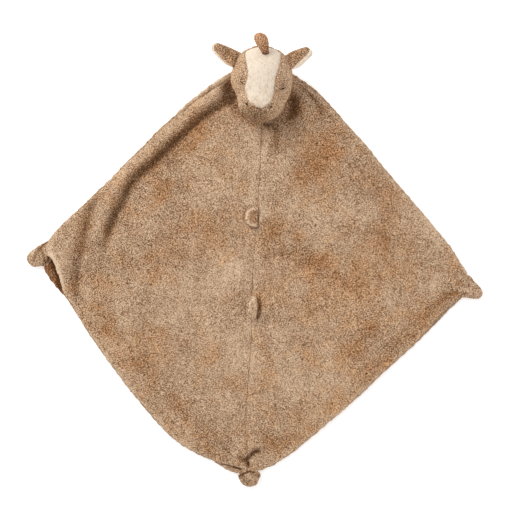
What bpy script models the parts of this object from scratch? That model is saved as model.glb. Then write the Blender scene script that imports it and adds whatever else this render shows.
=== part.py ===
"""Comfort blanket lovey: a square plush blanket laid flat, with a stuffed pony head at its top corner,
a small nub tied in each of the other three corners, and two soft tabs sewn into its centre seam.
The blanket lies on its back, corner to corner along X and Y; the face looks up along +Z."""

import math

import bmesh
import bpy
import numpy as np
from mathutils import Vector

# Cloth
CLOTH_THICKNESS = 0.0034
LAYER_GAP = 0.0003
SEAM_GAP = 0.0004

# Blanket outline: how far each corner's gather lies from the middle, and how full the edges are
LEFT_REACH = 0.2295
RIGHT_REACH = 0.2295
TOP_REACH = 0.2095
BOTTOM_REACH = 0.2290
LEFT_CORNER_RISE = 0.0005
RIGHT_CORNER_DROP = 0.0160
BOTTOM_CORNER_SHIFT = 0.0030
CORNER_GATHER_WIDTH = 0.0260
NECK_EDGE_WIDTH = 0.0640
NECK_EDGE_RISE = 0.0100
UPPER_LEFT_BOW = 0.0076
UPPER_RIGHT_BOW = 0.0095
LOWER_LEFT_BOW = 0.0186
LOWER_RIGHT_BOW = 0.0107
BOW_STATION_SHARES = (0.0, 0.1, 0.3, 0.5, 0.7, 0.9, 1.0)
UPPER_LEFT_BOW_SHARES = (0.0, 0.72, 1.0, 0.67, 0.30, 0.13, 0.0)
UPPER_RIGHT_BOW_SHARES = (0.0, 0.86, 1.0, 0.87, 0.76, 0.46, 0.0)
LOWER_LEFT_BOW_SHARES = (0.0, 0.58, 0.81, 0.87, 1.0, 0.77, 0.0)
LOWER_RIGHT_BOW_SHARES = (0.0, 0.70, 0.93, 1.0, 0.96, 0.51, 0.0)

# Front panels: their turned edge, the groove at the centre seam, and the open fold at the left corner
FRONT_INSET = 0.0025
TURNED_EDGE = 0.0040
TURNED_EDGE_HEIGHT_SHARE = 0.5
SEAM_GROOVE_DEPTH = 0.0006
SEAM_GROOVE_WIDTH = 0.0070
POCKET_DEPTH = 0.0085
POCKET_LENGTH_SHARE = 0.17
POCKET_SPREAD_SHARE = 0.82
EDGE_CALM = 0.0080
NECK_CALM = 0.0400

# Folds of the front: start and end in shares of the reach to the side and of the reach up or down,
# then the rise and the half width of each
EDGE_ROLL_RISE, EDGE_ROLL_WIDTH = 0.0080, 0.0095
SIDE_FOLD_RISE, SIDE_FOLD_WIDTH = 0.0038, 0.0070
CORNER_FOLD_RISE, CORNER_FOLD_WIDTH = 0.0045, 0.0070
CHIN_FOLD_RISE, CHIN_FOLD_WIDTH = 0.0040, 0.0065
EDGE_ROLL_SHARES = ((-0.22, 0.88), (-0.52, 0.57), (-0.80, 0.20))
SIDE_FOLD_SHARES = ((-0.735, 0.25), (-0.76, 0.06))
LEFT_FLAP_SHARES = ((-0.95, 0.00), (-0.85, -0.13))
SHOULDER_FOLD_SHARES = ((0.20, 0.90), (0.40, 0.70))
RIGHT_FOLD_UPPER_SHARES = ((0.95, -0.04), (0.80, -0.05))
RIGHT_FOLD_LOWER_SHARES = ((0.94, -0.12), (0.82, -0.22))
BOTTOM_FOLD_LEFT_SHARES = ((-0.03, -0.95), (-0.12, -0.82))
BOTTOM_FOLD_RIGHT_SHARES = ((0.06, -0.95), (0.16, -0.82))
CHIN_FOLD_SHARES = ((0.045, 0.66), (0.040, 0.56))

# Nubs tied in the corners
NUB_LENGTH = 0.0190
NUB_HALF_WIDTH = 0.0098
NUB_HALF_HEIGHT = 0.0078
NUB_NECK_RADIUS = 0.0034
NUB_NECK_HALF_WIDTH = 0.0080
NUB_FLAT_DEPTH = 0.0005
NUB_STATION_SHARES = (0.0, 0.2, 0.45, 0.7, 0.9, 0.97, 1.0)
NUB_RADIUS_SHARES = (0.80, 0.84, 0.99, 0.98, 0.68, 0.42, 0.0)
NUB_RING_SHARES = (0.14, 0.28, 0.42, 0.56, 0.70, 0.82, 0.91, 0.97)
NUB_CAP_STEPS = 3
LEFT_NUB_ANGLE = math.radians(199)
RIGHT_NUB_ANGLE = math.radians(-27)
BOTTOM_NUB_ANGLE = math.radians(-90)

# Tabs in the centre seam
TAB_THICKNESS = 0.0040
UPPER_TAB_WIDTH, UPPER_TAB_LENGTH = 0.0130, 0.0230
LOWER_TAB_WIDTH, LOWER_TAB_LENGTH = 0.0130, 0.0270
UPPER_TAB_PLACE_SHARE = 0.236
LOWER_TAB_PLACE_SHARE = -0.219
LOWER_TAB_LEAN = math.radians(48)
TAB_ROOT_RADIUS = 0.0023
TAB_ROOT_STEPS = 3
TAB_END_SHARE = 0.94
TAB_ROUNDNESS = 2.4
TAB_RIM_SHARE = 0.3
TAB_SIDE_POWER = 4
TAB_END_POWER = 6
TAB_ROWS = 13
TAB_COLUMN_SHARES = (0.3, 0.5, 0.72, 0.88, 1.0)

# Head: a blend of rounded masses, placed from the head's middle, with their half sizes
HEAD_SETBACK = 0.0165
HEAD_PLACE = TOP_REACH - HEAD_SETBACK
SKIN_THICKNESS = 0.0030
STUFFING_CLEARANCE = 0.0007
CRANIUM_HALF_WIDTH, CRANIUM_HALF_LENGTH, CRANIUM_HALF_HEIGHT = 0.0332, 0.0333, 0.0290
MUZZLE_HALF_WIDTH, MUZZLE_HALF_LENGTH, MUZZLE_HALF_HEIGHT = 0.0240, 0.0196, 0.0215
CRANIUM_PLACE = (0.0, 0.0080, 0.0)
MUZZLE_PLACE = (0.0, -0.0220, 0.0050)
MASS_BLEND = 0.0100

# Seams of the head skin, by half width of the panels between the two sides
BLAZE_HALF_WIDTH = 0.0195
BACK_GUSSET_HALF_WIDTH = 0.0120
CROWN_ANGLE = math.radians(74)
NOSE_ANGLE = math.radians(-50)
BLAZE_STATION_SHARES = (0.0, 0.16, 0.35, 0.53, 0.72, 0.82, 0.9, 0.96, 1.0)
BLAZE_WIDTH_SHARES = (1.0, 0.99, 0.87, 0.78, 0.83, 0.80, 0.69, 0.48, 0.0)

# Neck: the gathered corner of the blanket, and how far the skin of the head stands over the blanket
NECK_RADIUS = 0.0120
NECK_FLARE = 0.0030
NECK_SETBACK = 0.0040
NECK_CLEARANCE = 0.0007
NECK_STAND = 0.0022
NECK_RING_SHARES = (0.0, 0.12, 0.3, 0.5, 1.0)
NECK_FLARE_SHARES = (1.0, 0.85, 0.3, 0.0, 0.0)

# Ears, each a tan outer leaf over a cream lining
EAR_LENGTH = 0.0285
EAR_WIDTH = 0.0200
EAR_LAYER = 0.0026
EAR_CUP = 0.0030
EAR_LINING_RIM = 0.0012
EAR_ROOT_TURN = math.radians(78)
EAR_ROOT_SPREAD = math.radians(49)
EAR_SWEEP = math.radians(32)
EAR_LIFT = math.radians(4)
EAR_ROLL = math.radians(24)
EAR_STATION_SHARES = (0.0, 0.3, 0.6, 0.82, 0.95, 1.0)
EAR_WIDTH_SHARES = (0.95, 1.0, 0.80, 0.56, 0.34, 0.16)
EAR_RIM_SHARE = 0.35
EAR_ROOT_SHARE = 0.06
EAR_ROOT_THICKNESS_SHARE = 0.3
EAR_CLEARANCE = 0.0006
EAR_PLUMP_POWER = 4
EAR_TIP_POWER = 8
EAR_RING_SHARES = (0.0, 0.12, 0.28, 0.45, 0.6, 0.74, 0.86, 0.94, 0.985, 1.0)
EAR_COLUMNS = 9

# Forelock, a stuffed tongue that rises from the crown and bends back
FORELOCK_ROOT_TURN = math.radians(54)
FORELOCK_ROOT_SPREAD = math.radians(4)
FORELOCK_LEAN = 0.0065
FORELOCK_RISE = 0.0110
FORELOCK_BACK = 0.0200
FORELOCK_HALF_WIDTH = 0.0072
FORELOCK_HALF_THICKNESS = 0.0046
FORELOCK_CLEARANCE = 0.0005
FORELOCK_BEND_SHARE = 0.2
FORELOCK_DROOP_SHARE = 0.55
FORELOCK_RING_SHARES = (0.06, 0.16, 0.3, 0.45, 0.6, 0.74, 0.86, 0.94, 0.985)
FORELOCK_STATION_SHARES = (0.0, 0.12, 0.35, 0.62, 0.84, 0.95, 1.0)
FORELOCK_WIDTH_SHARES = (0.0, 0.48, 0.74, 0.98, 0.88, 0.55, 0.0)

# Embroidery of the face, placed from the head's middle
THREAD_WIDTH = 0.0013
THREAD_HEIGHT = 0.0008
THREAD_TAPER = 2.2
THREAD_RINGS = 5
SLOPE_STEP_SHARE = 0.001
EYE_LENGTH = 0.0062
LEFT_EYE_PLACE, RIGHT_EYE_PLACE = (-0.0213, -0.0015), (0.0231, -0.0060)
LEFT_EYE_SLANT, RIGHT_EYE_SLANT = math.radians(-38), math.radians(29)
NOSTRIL_LENGTH = 0.0026
LEFT_NOSTRIL_PLACE, RIGHT_NOSTRIL_PLACE = (-0.0154, -0.0250), (0.0110, -0.0271)
LEFT_NOSTRIL_SLANT, RIGHT_NOSTRIL_SLANT = math.radians(-50), math.radians(65)

# Counts of facets
EDGE_ROWS = 15
NECK_EDGE_STEPS = 4
PANEL_COLUMN_SHARES = (0.0, 0.015, 0.04, 0.14, 0.26, 0.38, 0.49, 0.59, 0.68, 0.76, 0.83, 0.89, 0.94, 1.0)
BLAZE_STEPS, MUZZLE_STEPS, NECK_STEPS, BACK_STEPS = 20, 7, 8, 10
SIDE_RINGS = 7
CORE_RINGS, CORE_POINTS = 12, 24
ROUND_POINTS = 12
SEARCH_STEPS = 24
LOWEST_SEARCH_POINTS = 61
BLAZE_COLUMNS, BACK_COLUMNS = 7, 5

SHARP_ANGLE = math.radians(50)

# Heights of the stack of layers
BACK_TOP = CLOTH_THICKNESS
FRONT_BOTTOM = BACK_TOP + LAYER_GAP
FRONT_TOP = FRONT_BOTTOM + CLOTH_THICKNESS
NECK_BOTTOM = FRONT_TOP + LAYER_GAP
NECK_TOP = NECK_BOTTOM + NECK_STAND + SKIN_THICKNESS + STUFFING_CLEARANCE

# Middles of the gathered corners
LEFT_CORNER = np.array([-LEFT_REACH, LEFT_CORNER_RISE])
RIGHT_CORNER = np.array([RIGHT_REACH, -RIGHT_CORNER_DROP])
BOTTOM_CORNER = np.array([BOTTOM_CORNER_SHIFT, -BOTTOM_REACH])

# Colours
PLUSH_TAN = (0.42, 0.275, 0.170, 1.0)
PLUSH_TAN_DARK = (0.34, 0.205, 0.118, 1.0)
PLUSH_CREAM = (0.83, 0.70, 0.56, 1.0)
PLUSH_BROWN = (0.43, 0.225, 0.112, 1.0)
THREAD_BROWN = (0.030, 0.018, 0.012, 1.0)
FIBRE_WHITE = (0.86, 0.86, 0.84, 1.0)


def clear_scene():
    for obj in list(bpy.data.objects):
        bpy.data.objects.remove(obj, do_unlink=True)


def smooth_through(at, stations, values):
    """A smooth curve through hand-chosen shares."""
    at, stations, values = np.asarray(at, float), np.asarray(stations, float), np.asarray(values, float)
    slopes = np.gradient(values, stations)
    i = np.clip(np.searchsorted(stations, at, side="right") - 1, 0, len(stations) - 2)
    step = stations[i + 1] - stations[i]
    u = np.clip((at - stations[i]) / step, 0.0, 1.0)
    start = (1 + 2 * u) * (1 - u) ** 2 * values[i] + u * (1 - u) ** 2 * step * slopes[i]
    end = u * u * (3 - 2 * u) * values[i + 1] + u * u * (u - 1) * step * slopes[i + 1]
    return start + end


def unit(vector):
    vector = np.asarray(vector, float)
    return vector / np.linalg.norm(vector)


# Objects


def plush(name, colour, roughness=0.95):
    material = bpy.data.materials.new(name)
    material.use_nodes = True
    shader = material.node_tree.nodes["Principled BSDF"]
    shader.inputs["Base Color"].default_value = colour
    shader.inputs["Roughness"].default_value = roughness
    shader.inputs["Metallic"].default_value = 0.0
    return material


def joint_empty(name, place, parent=None):
    """A body of the toy: its pieces hang from this empty, which stands on the joint's axis."""
    empty = bpy.data.objects.new(name, None)
    empty["place"] = [float(c) for c in place]
    bpy.context.scene.collection.objects.link(empty)
    attach(empty, parent)
    return empty


def attach(obj, parent):
    place = Vector(obj["place"])
    if parent is None:
        obj.location = place
    else:
        obj.parent = parent
        obj.location = place - Vector(parent["place"])


def add_part(name, points, faces, material, body):
    """One closed solid whose origin is on its body's joint axis."""
    place = Vector(body["place"])
    mesh = bpy.data.meshes.new(name)
    mesh.from_pydata([tuple(Vector(p) - place) for p in points], [], faces)
    shell = bmesh.new()
    shell.from_mesh(mesh)
    bmesh.ops.recalc_face_normals(shell, faces=shell.faces)
    shell.to_mesh(mesh)
    shell.free()
    mesh.shade_smooth()
    mesh.set_sharp_from_angle(angle=SHARP_ANGLE)
    mesh.materials.append(material)
    obj = bpy.data.objects.new(name, mesh)
    obj["place"] = [float(c) for c in place]
    bpy.context.scene.collection.objects.link(obj)
    attach(obj, body)
    return obj


def sheet_solid(top, bottom):
    """Points and faces of a closed sheet between two grids of points, rows by columns."""
    top, bottom = np.asarray(top, float), np.asarray(bottom, float)
    rows, columns = top.shape[:2]
    points = np.concatenate([top.reshape(-1, 3), bottom.reshape(-1, 3)])
    under = rows * columns
    faces = []
    for r in range(rows - 1):
        for c in range(columns - 1):
            a, b = r * columns + c, (r + 1) * columns + c
            faces.append((a, b, b + 1, a + 1))
            faces.append((under + a, under + a + 1, under + b + 1, under + b))
    rim = [(0, c) for c in range(columns)] + [(r, columns - 1) for r in range(1, rows)]
    rim += [(rows - 1, c) for c in range(columns - 2, -1, -1)] + [(r, 0) for r in range(rows - 2, 0, -1)]
    loop = [r * columns + c for r, c in rim]
    for a, b in zip(loop, loop[1:] + loop[:1]):
        faces.append((a, b, under + b, under + a))
    return points, faces


def loft_solid(rings, first_pole=None, last_pole=None):
    """Points and faces of a closed solid through rings of points, its ends drawn to poles or capped flat."""
    rings = np.asarray(rings, float)
    count, around = rings.shape[:2]
    points = list(rings.reshape(-1, 3))
    faces = []
    for r in range(count - 1):
        for c in range(around):
            d = (c + 1) % around
            faces.append((r * around + c, r * around + d, (r + 1) * around + d, (r + 1) * around + c))
    for pole, start in ((first_pole, 0), (last_pole, (count - 1) * around)):
        loop = list(range(start, start + around))
        if pole is None:
            faces.append(loop)
        else:
            points.append(np.asarray(pole, float))
            faces += [(a, b, len(points) - 1) for a, b in zip(loop, loop[1:] + loop[:1])]
    return points, faces


def shell_solid(outer, inner, outer_pole, inner_pole):
    """Points and faces of a bowl between two nests of rings, open at the first ring and closed at its poles."""
    outer, inner = np.asarray(outer, float), np.asarray(inner, float)
    count, around = outer.shape[:2]
    points = [*outer.reshape(-1, 3), *inner.reshape(-1, 3), outer_pole, inner_pole]
    under = count * around
    faces = []
    for c in range(around):
        d = (c + 1) % around
        faces.append((c, d, under + d, under + c))
        for r in range(count - 1):
            a, b = r * around, (r + 1) * around
            faces.append((a + c, a + d, b + d, b + c))
            faces.append((under + a + c, under + b + c, under + b + d, under + a + d))
        last = (count - 1) * around
        faces.append((last + c, last + d, 2 * under))
        faces.append((under + last + d, under + last + c, 2 * under + 1))
    return points, faces


# Blanket


def edge_points(start, end, bow, bow_shares, at):
    """Points along one edge of the blanket, bowed outwards, away from the middle."""
    start, end = np.asarray(start, float), np.asarray(end, float)
    along = unit(end - start)
    outward = np.array([along[1], -along[0]])
    if outward @ (start + end) < 0:
        outward = -outward
    lift = bow * smooth_through(at, BOW_STATION_SHARES, bow_shares)
    return start + np.outer(at, end - start) + np.outer(lift, outward)


def corner_cut(corner, angle):
    """The two ends of a corner's straight gathered edge, which lies square to its nub."""
    across = np.array([-math.sin(angle), math.cos(angle)])
    return corner + across * CORNER_GATHER_WIDTH / 2, corner - across * CORNER_GATHER_WIDTH / 2


def blanket_side(side):
    """The outline of one half, from the neck to the side corner and from there to the bottom."""
    bottom = sorted(corner_cut(BOTTOM_CORNER, BOTTOM_NUB_ANGLE), key=lambda end: end[0])
    if side < 0:
        corner = corner_cut(LEFT_CORNER, LEFT_NUB_ANGLE)
        upper_bow, upper_shares = UPPER_LEFT_BOW, UPPER_LEFT_BOW_SHARES
        lower_bow, lower_shares = LOWER_LEFT_BOW, LOWER_LEFT_BOW_SHARES
        foot = bottom[0]
    else:
        corner = corner_cut(RIGHT_CORNER, RIGHT_NUB_ANGLE)
        upper_bow, upper_shares = UPPER_RIGHT_BOW, UPPER_RIGHT_BOW_SHARES
        lower_bow, lower_shares = LOWER_RIGHT_BOW, LOWER_RIGHT_BOW_SHARES
        foot = bottom[1]
    low, high = sorted(corner, key=lambda end: end[1])
    at = (1 - np.cos(np.linspace(0, math.pi, EDGE_ROWS))) / 2
    neck = (side * NECK_EDGE_WIDTH / 2, TOP_REACH)
    round_off = np.linspace(math.pi / 2, 0.0, NECK_EDGE_STEPS + 2)[1:-1]
    cap = np.column_stack([neck[0] * np.cos(round_off), neck[1] + NECK_EDGE_RISE * np.sin(round_off)])
    upper = np.concatenate([cap, edge_points(neck, high, upper_bow, upper_shares, at)])
    lower = edge_points(low, foot, lower_bow, lower_shares, at)
    return upper, lower


def seam_x(y):
    """The centre seam runs straight from the neck and ends over the bottom nub."""
    down = np.clip(-np.asarray(y, float) / BOTTOM_REACH, 0.0, 1.0)
    return BOTTOM_CORNER_SHIFT * down**2


def from_shares(place_shares):
    """A place on the blanket, from shares of its reach to the side and up or down."""
    across, up = place_shares
    return np.array([across * (LEFT_REACH if across < 0 else RIGHT_REACH),
                     up * (TOP_REACH if up > 0 else BOTTOM_REACH)])


def ridge(x, y, place_shares, rise, half_width):
    """The rise of a soft fold along a line of places, which dies away at both ends."""
    places = [from_shares(p) for p in place_shares]
    best = np.zeros_like(x)
    for start, end in zip(places, places[1:]):
        run = end - start
        share = np.clip(((x - start[0]) * run[0] + (y - start[1]) * run[1]) / (run @ run), 0.0, 1.0)
        away = np.hypot(x - start[0] - share * run[0], y - start[1] - share * run[1])
        best = np.maximum(best, rise * np.exp(-((away / half_width) ** 2)))
    return best


def fold_rise(x, y):
    """How far the front lifts off the back."""
    rise = ridge(x, y, EDGE_ROLL_SHARES, EDGE_ROLL_RISE, EDGE_ROLL_WIDTH)
    rise = rise + ridge(x, y, SIDE_FOLD_SHARES, SIDE_FOLD_RISE, SIDE_FOLD_WIDTH)
    rise = rise + ridge(x, y, SHOULDER_FOLD_SHARES, SIDE_FOLD_RISE, SIDE_FOLD_WIDTH)
    rise = rise + ridge(x, y, CHIN_FOLD_SHARES, CHIN_FOLD_RISE, CHIN_FOLD_WIDTH)
    for place_shares in (LEFT_FLAP_SHARES, RIGHT_FOLD_UPPER_SHARES, RIGHT_FOLD_LOWER_SHARES,
                         BOTTOM_FOLD_LEFT_SHARES, BOTTOM_FOLD_RIGHT_SHARES):
        rise = rise + ridge(x, y, place_shares, CORNER_FOLD_RISE, CORNER_FOLD_WIDTH)
    from_neck = np.hypot(x, y - (HEAD_PLACE - NECK_SETBACK))
    calm = np.clip((from_neck - NECK_CALM / 2) / (NECK_CALM / 2), 0.0, 1.0)
    return rise * calm


def front_panel(side, name, material, body):
    """Half of the front: flat on the back panel, with its folds, its turned edge and the seam's groove."""
    upper, lower = blanket_side(side)
    outline = np.concatenate([upper, lower])
    inset = np.full(len(outline), FRONT_INSET)
    if side < 0:
        share = np.linspace(0.0, 1.0, len(lower)) / POCKET_LENGTH_SHARE
        inset[len(upper):] += POCKET_DEPTH * np.exp(-(((share - 1.0) / POCKET_SPREAD_SHARE) ** 2))
    seam = seam_x(outline[:, 1]) + side * SEAM_GAP / 2
    reach = np.maximum(np.abs(outline[:, 0] - seam) - inset, TURNED_EDGE)
    columns = np.asarray(PANEL_COLUMN_SHARES)
    x = seam[:, None] + side * reach[:, None] * columns[None, :]
    y = np.repeat(outline[:, 1][:, None], len(columns), axis=1)
    from_seam = np.abs(x - seam[:, None])
    from_edge = reach[:, None] - from_seam
    rise = fold_rise(x, y) * np.clip(from_edge / EDGE_CALM, 0.0, 1.0)
    groove = SEAM_GROOVE_DEPTH * np.exp(-((from_seam / (SEAM_GROOVE_WIDTH / 2)) ** 2))
    turned = np.clip(from_edge / TURNED_EDGE, 0.0, 1.0)
    height = CLOTH_THICKNESS * (TURNED_EDGE_HEIGHT_SHARE + (1 - TURNED_EDGE_HEIGHT_SHARE) * turned)
    bottom = np.stack([x, y, FRONT_BOTTOM + rise], axis=2)
    top = np.stack([x, y, FRONT_BOTTOM + rise + height - groove], axis=2)
    return add_part(name, *sheet_solid(top, bottom), material, body)


def back_panel(material, body):
    """The back, one whole square of cloth, flat on its underside."""
    left, right = (np.concatenate(blanket_side(side)) for side in (-1, 1))
    loop = np.concatenate([left, right[::-1]])
    rings = [np.column_stack([loop, np.full(len(loop), z)]) for z in (0.0, BACK_TOP)]
    return add_part("back_panel", *loft_solid(rings), material, body)


# Corner nubs


def nub_hinge(corner, angle):
    """The middle of a nub's gather: clear of the blanket's cut corner by the gap of a seam."""
    away = NUB_NECK_RADIUS + SEAM_GAP
    return np.array([corner[0] + away * math.cos(angle), corner[1] + away * math.sin(angle),
                     NUB_NECK_RADIUS + LAYER_GAP])


def corner_nub(name, hinge, angle, material, body):
    """A tied corner: a narrow round neck at the blanket that swells to a ball, flat where it lies."""
    outward = np.array([math.cos(angle), math.sin(angle), 0.0])
    across = np.array([-math.sin(angle), math.cos(angle), 0.0])
    up = np.array([0.0, 0.0, 1.0])
    turn = np.linspace(0, 2 * math.pi, ROUND_POINTS, endpoint=False)
    ball_lift = NUB_HALF_HEIGHT - NUB_FLAT_DEPTH - hinge[2]
    rings = []
    for a in np.linspace(0, math.pi / 2, NUB_CAP_STEPS + 1)[1:]:
        wide, high = NUB_NECK_HALF_WIDTH * math.sin(a), NUB_NECK_RADIUS * math.sin(a)
        centre = hinge - outward * NUB_NECK_RADIUS * math.cos(a)
        rings.append([centre + wide * math.cos(t) * across + high * math.sin(t) * up for t in turn])
    for s in NUB_RING_SHARES:
        share = float(smooth_through(s, NUB_STATION_SHARES, NUB_RADIUS_SHARES))
        lift = ball_lift * min(s / NUB_STATION_SHARES[2], 1.0)
        centre = hinge + outward * s * NUB_LENGTH + up * lift
        wide, high = NUB_HALF_WIDTH * share, NUB_HALF_HEIGHT * share
        rings.append([centre + wide * math.cos(t) * across + high * math.sin(t) * up for t in turn])
    rings = np.asarray(rings)
    rings[..., 2] = np.maximum(rings[..., 2], 0.0)
    first = hinge - outward * NUB_NECK_RADIUS
    last = hinge + outward * NUB_LENGTH + up * ball_lift
    return add_part(name, *loft_solid(rings, first, last), material, body)


# Seam tabs


def tab_hinge(place_share):
    y = place_share * (TOP_REACH if place_share > 0 else BOTTOM_REACH)
    return np.array([float(seam_x(y)), y, FRONT_TOP + LAYER_GAP + TAB_THICKNESS / 2])


def seam_tab(name, hinge, width, length, lean, material, body):
    """A soft half-round tab with a round bead along the seam, turned up about the bead by its lean."""
    along = np.linspace(-TAB_END_SHARE, TAB_END_SHARE, TAB_ROWS)
    bead = np.linspace(math.pi / 3, 0.0, TAB_ROOT_STEPS)
    leaf = np.asarray(TAB_COLUMN_SHARES)
    reach = width * (1 - np.abs(along) ** TAB_ROUNDNESS) ** (1 / TAB_ROUNDNESS)
    round_side = np.sqrt(np.clip(1 - leaf**TAB_SIDE_POWER, 0.0, 1.0))[None, :]
    round_end = np.sqrt(np.clip(1 - along**TAB_END_POWER, 0.0, 1.0))[:, None]
    behind = np.repeat(TAB_ROOT_RADIUS * np.sin(bead)[None, :], TAB_ROWS, axis=0)
    out = np.hstack([behind, -reach[:, None] * leaf[None, :]])
    y = np.repeat((along * length / 2)[:, None], out.shape[1], axis=1)
    half = TAB_THICKNESS / 2 * (TAB_RIM_SHARE + (1 - TAB_RIM_SHARE) * round_side * round_end)
    half = np.hstack([TAB_ROOT_RADIUS * np.cos(bead)[None, :] * round_end, half])
    top = np.stack([out, y, half], axis=2)
    bottom = np.stack([out, y, -half], axis=2)
    turn = np.array([[math.cos(lean), 0, math.sin(lean)], [0, 1, 0], [-math.sin(lean), 0, math.cos(lean)]])
    top, bottom = (hinge + grid @ turn.T for grid in (top, bottom))
    return add_part(name, *sheet_solid(top, bottom), material, body)


# Head


def head_depth(points, inset):
    """Below zero inside the head, drawn in by the inset: two rounded masses blended into each other."""
    depths = []
    for place, half_sizes in (
        (CRANIUM_PLACE, (CRANIUM_HALF_WIDTH, CRANIUM_HALF_LENGTH, CRANIUM_HALF_HEIGHT)),
        (MUZZLE_PLACE, (MUZZLE_HALF_WIDTH, MUZZLE_HALF_LENGTH, MUZZLE_HALF_HEIGHT)),
    ):
        sizes = np.asarray(half_sizes) - inset
        depths.append((np.linalg.norm((points - place) / sizes, axis=-1) - 1.0) * sizes.min())
    share = np.clip(0.5 + (depths[1] - depths[0]) / (2 * MASS_BLEND), 0.0, 1.0)
    return depths[1] * (1 - share) + depths[0] * share - MASS_BLEND * share * (1 - share)


def direction(turn, spread):
    """From the head's middle: the turn goes from the face up over the crown, the spread to the right."""
    turn, spread = np.broadcast_arrays(np.asarray(turn, float), np.asarray(spread, float))
    return np.stack([np.sin(spread), np.cos(spread) * np.sin(turn), np.cos(spread) * np.cos(turn)], axis=-1)


def head_surface(turn, spread, inset=0.0):
    """The point of the head's surface in a direction, from the head's middle."""
    way = direction(turn, spread)
    near = np.zeros(way.shape[:-1])
    far = np.full(way.shape[:-1], CRANIUM_HALF_LENGTH + CRANIUM_HALF_WIDTH + MUZZLE_HALF_LENGTH)
    for _ in range(SEARCH_STEPS):
        middle = (near + far) / 2
        outside = head_depth(way * middle[..., None], inset) > 0
        far = np.where(outside, middle, far)
        near = np.where(outside, near, middle)
    return way * near[..., None]


def neck_opening_radius():
    return NECK_RADIUS + NECK_CLEARANCE


def head_middle():
    """The stuffing rests on the neck, which sets how high the middle of the head lies."""
    turns, spreads = np.meshgrid(np.linspace(math.pi / 2, 3 * math.pi / 2, LOWEST_SEARCH_POINTS),
                                 np.linspace(-math.pi / 4, math.pi / 4, LOWEST_SEARCH_POINTS))
    core = head_surface(turns, spreads, SKIN_THICKNESS + STUFFING_CLEARANCE)
    return np.array([0.0, HEAD_PLACE, NECK_TOP + LAYER_GAP - core[..., 2].min()])


def blaze_half_width(turn):
    share = (CROWN_ANGLE - turn) / (CROWN_ANGLE - NOSE_ANGLE)
    return BLAZE_HALF_WIDTH * max(float(smooth_through(share, BLAZE_STATION_SHARES, BLAZE_WIDTH_SHARES)), 0.0)


def band_spread(turn, inside):
    """How far the band between the two sides spreads at this turn: the last spread that is inside it."""
    near, far = 0.0, math.pi / 2
    for _ in range(SEARCH_STEPS):
        middle = (near + far) / 2
        if inside(turn, middle):
            near = middle
        else:
            far = middle
    return near


def within(half_width):
    """A test for points nearer to the middle of the head than a half width."""
    return lambda turn, spread: head_surface(turn, spread)[0] < half_width


def in_neck_opening(turn, spread):
    point = head_surface(turn, spread, SKIN_THICKNESS)
    return point[2] < 0 and math.hypot(point[0], point[1] + NECK_SETBACK) < neck_opening_radius()


def neck_turns():
    """The turns at which the neck opening begins, under the chin, and ends, at the back of the head."""
    ends = []
    for sign in (-1, 1):
        near, far = 0.0, math.pi / 2
        for _ in range(SEARCH_STEPS):
            middle = (near + far) / 2
            point = head_surface(math.pi + sign * middle, 0.0, SKIN_THICKNESS)
            inside = math.hypot(point[0], point[1] + NECK_SETBACK) < neck_opening_radius()
            near, far = (middle, far) if inside else (near, middle)
        ends.append(math.pi + sign * near)
    return min(ends), max(ends)


def head_seams():
    """Turns round the head's middle line and the spread of each side's edge, from the crown over the face."""
    back_end, front_start = neck_turns()
    front_start -= 2 * math.pi
    back_end -= 2 * math.pi
    blaze = np.linspace(CROWN_ANGLE, NOSE_ANGLE, BLAZE_STEPS + 1)
    muzzle = np.linspace(NOSE_ANGLE, front_start, MUZZLE_STEPS + 2)[1:-1]
    neck = np.linspace(front_start, back_end, NECK_STEPS + 1)
    back = np.linspace(back_end, CROWN_ANGLE - 2 * math.pi, BACK_STEPS + 1)[1:-1]
    return blaze, muzzle, neck, back


def side_edge(blaze, muzzle, neck, back):
    """The turns and spreads of the loop where a side panel ends."""
    turns, spreads = [], []
    for turn in blaze:
        turns.append(turn)
        spreads.append(band_spread(turn, within(blaze_half_width(turn) + SEAM_GAP)))
    for turn in muzzle:
        turns.append(turn)
        spreads.append(band_spread(turn, within(SEAM_GAP)))
    for turn in neck:
        turns.append(turn)
        seam = SEAM_GAP if turn > neck.mean() else BACK_GUSSET_HALF_WIDTH + SEAM_GAP
        opening = band_spread(turn, in_neck_opening)
        spreads.append(max(opening, band_spread(turn, within(seam))))
    for turn in back:
        turns.append(turn)
        opening = band_spread(turn, in_neck_opening)
        spreads.append(max(opening, band_spread(turn, within(BACK_GUSSET_HALF_WIDTH + SEAM_GAP))))
    return np.array(turns), np.array(spreads)


def head_side(side, name, seams, middle, material, body):
    """One side of the head: cheek, jaw and brow, a bowl that ends at the seams."""
    turns, edge = side_edge(*seams)
    rings = np.linspace(0.0, 1.0, SIDE_RINGS + 1)[:-1]
    spread = side * (edge[None, :] + (math.pi / 2 - edge[None, :]) * rings[:, None])
    turn = np.repeat(turns[None, :], len(rings), axis=0)
    outer, inner = (middle + head_surface(turn, spread, inset) for inset in (0.0, SKIN_THICKNESS))
    poles = [middle + head_surface(0.0, side * math.pi / 2, inset) for inset in (0.0, SKIN_THICKNESS)]
    return add_part(name, *shell_solid(outer, inner, *poles), material, body)


def blaze_gusset(seams, middle, material, body):
    """The cream panel down the face, widest at the crown and pointed at the nose."""
    turns = seams[0][:-1]
    spreads = np.array([band_spread(turn, within(blaze_half_width(turn))) for turn in turns])
    spread = spreads[:, None] * np.linspace(-1.0, 1.0, BLAZE_COLUMNS)[None, :]
    turn = np.repeat(turns[:, None], BLAZE_COLUMNS, axis=1)
    outer, inner = (middle + head_surface(turn, spread, inset) for inset in (0.0, SKIN_THICKNESS))
    return add_part("blaze_gusset", *sheet_solid(outer, inner), material, body)


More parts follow.
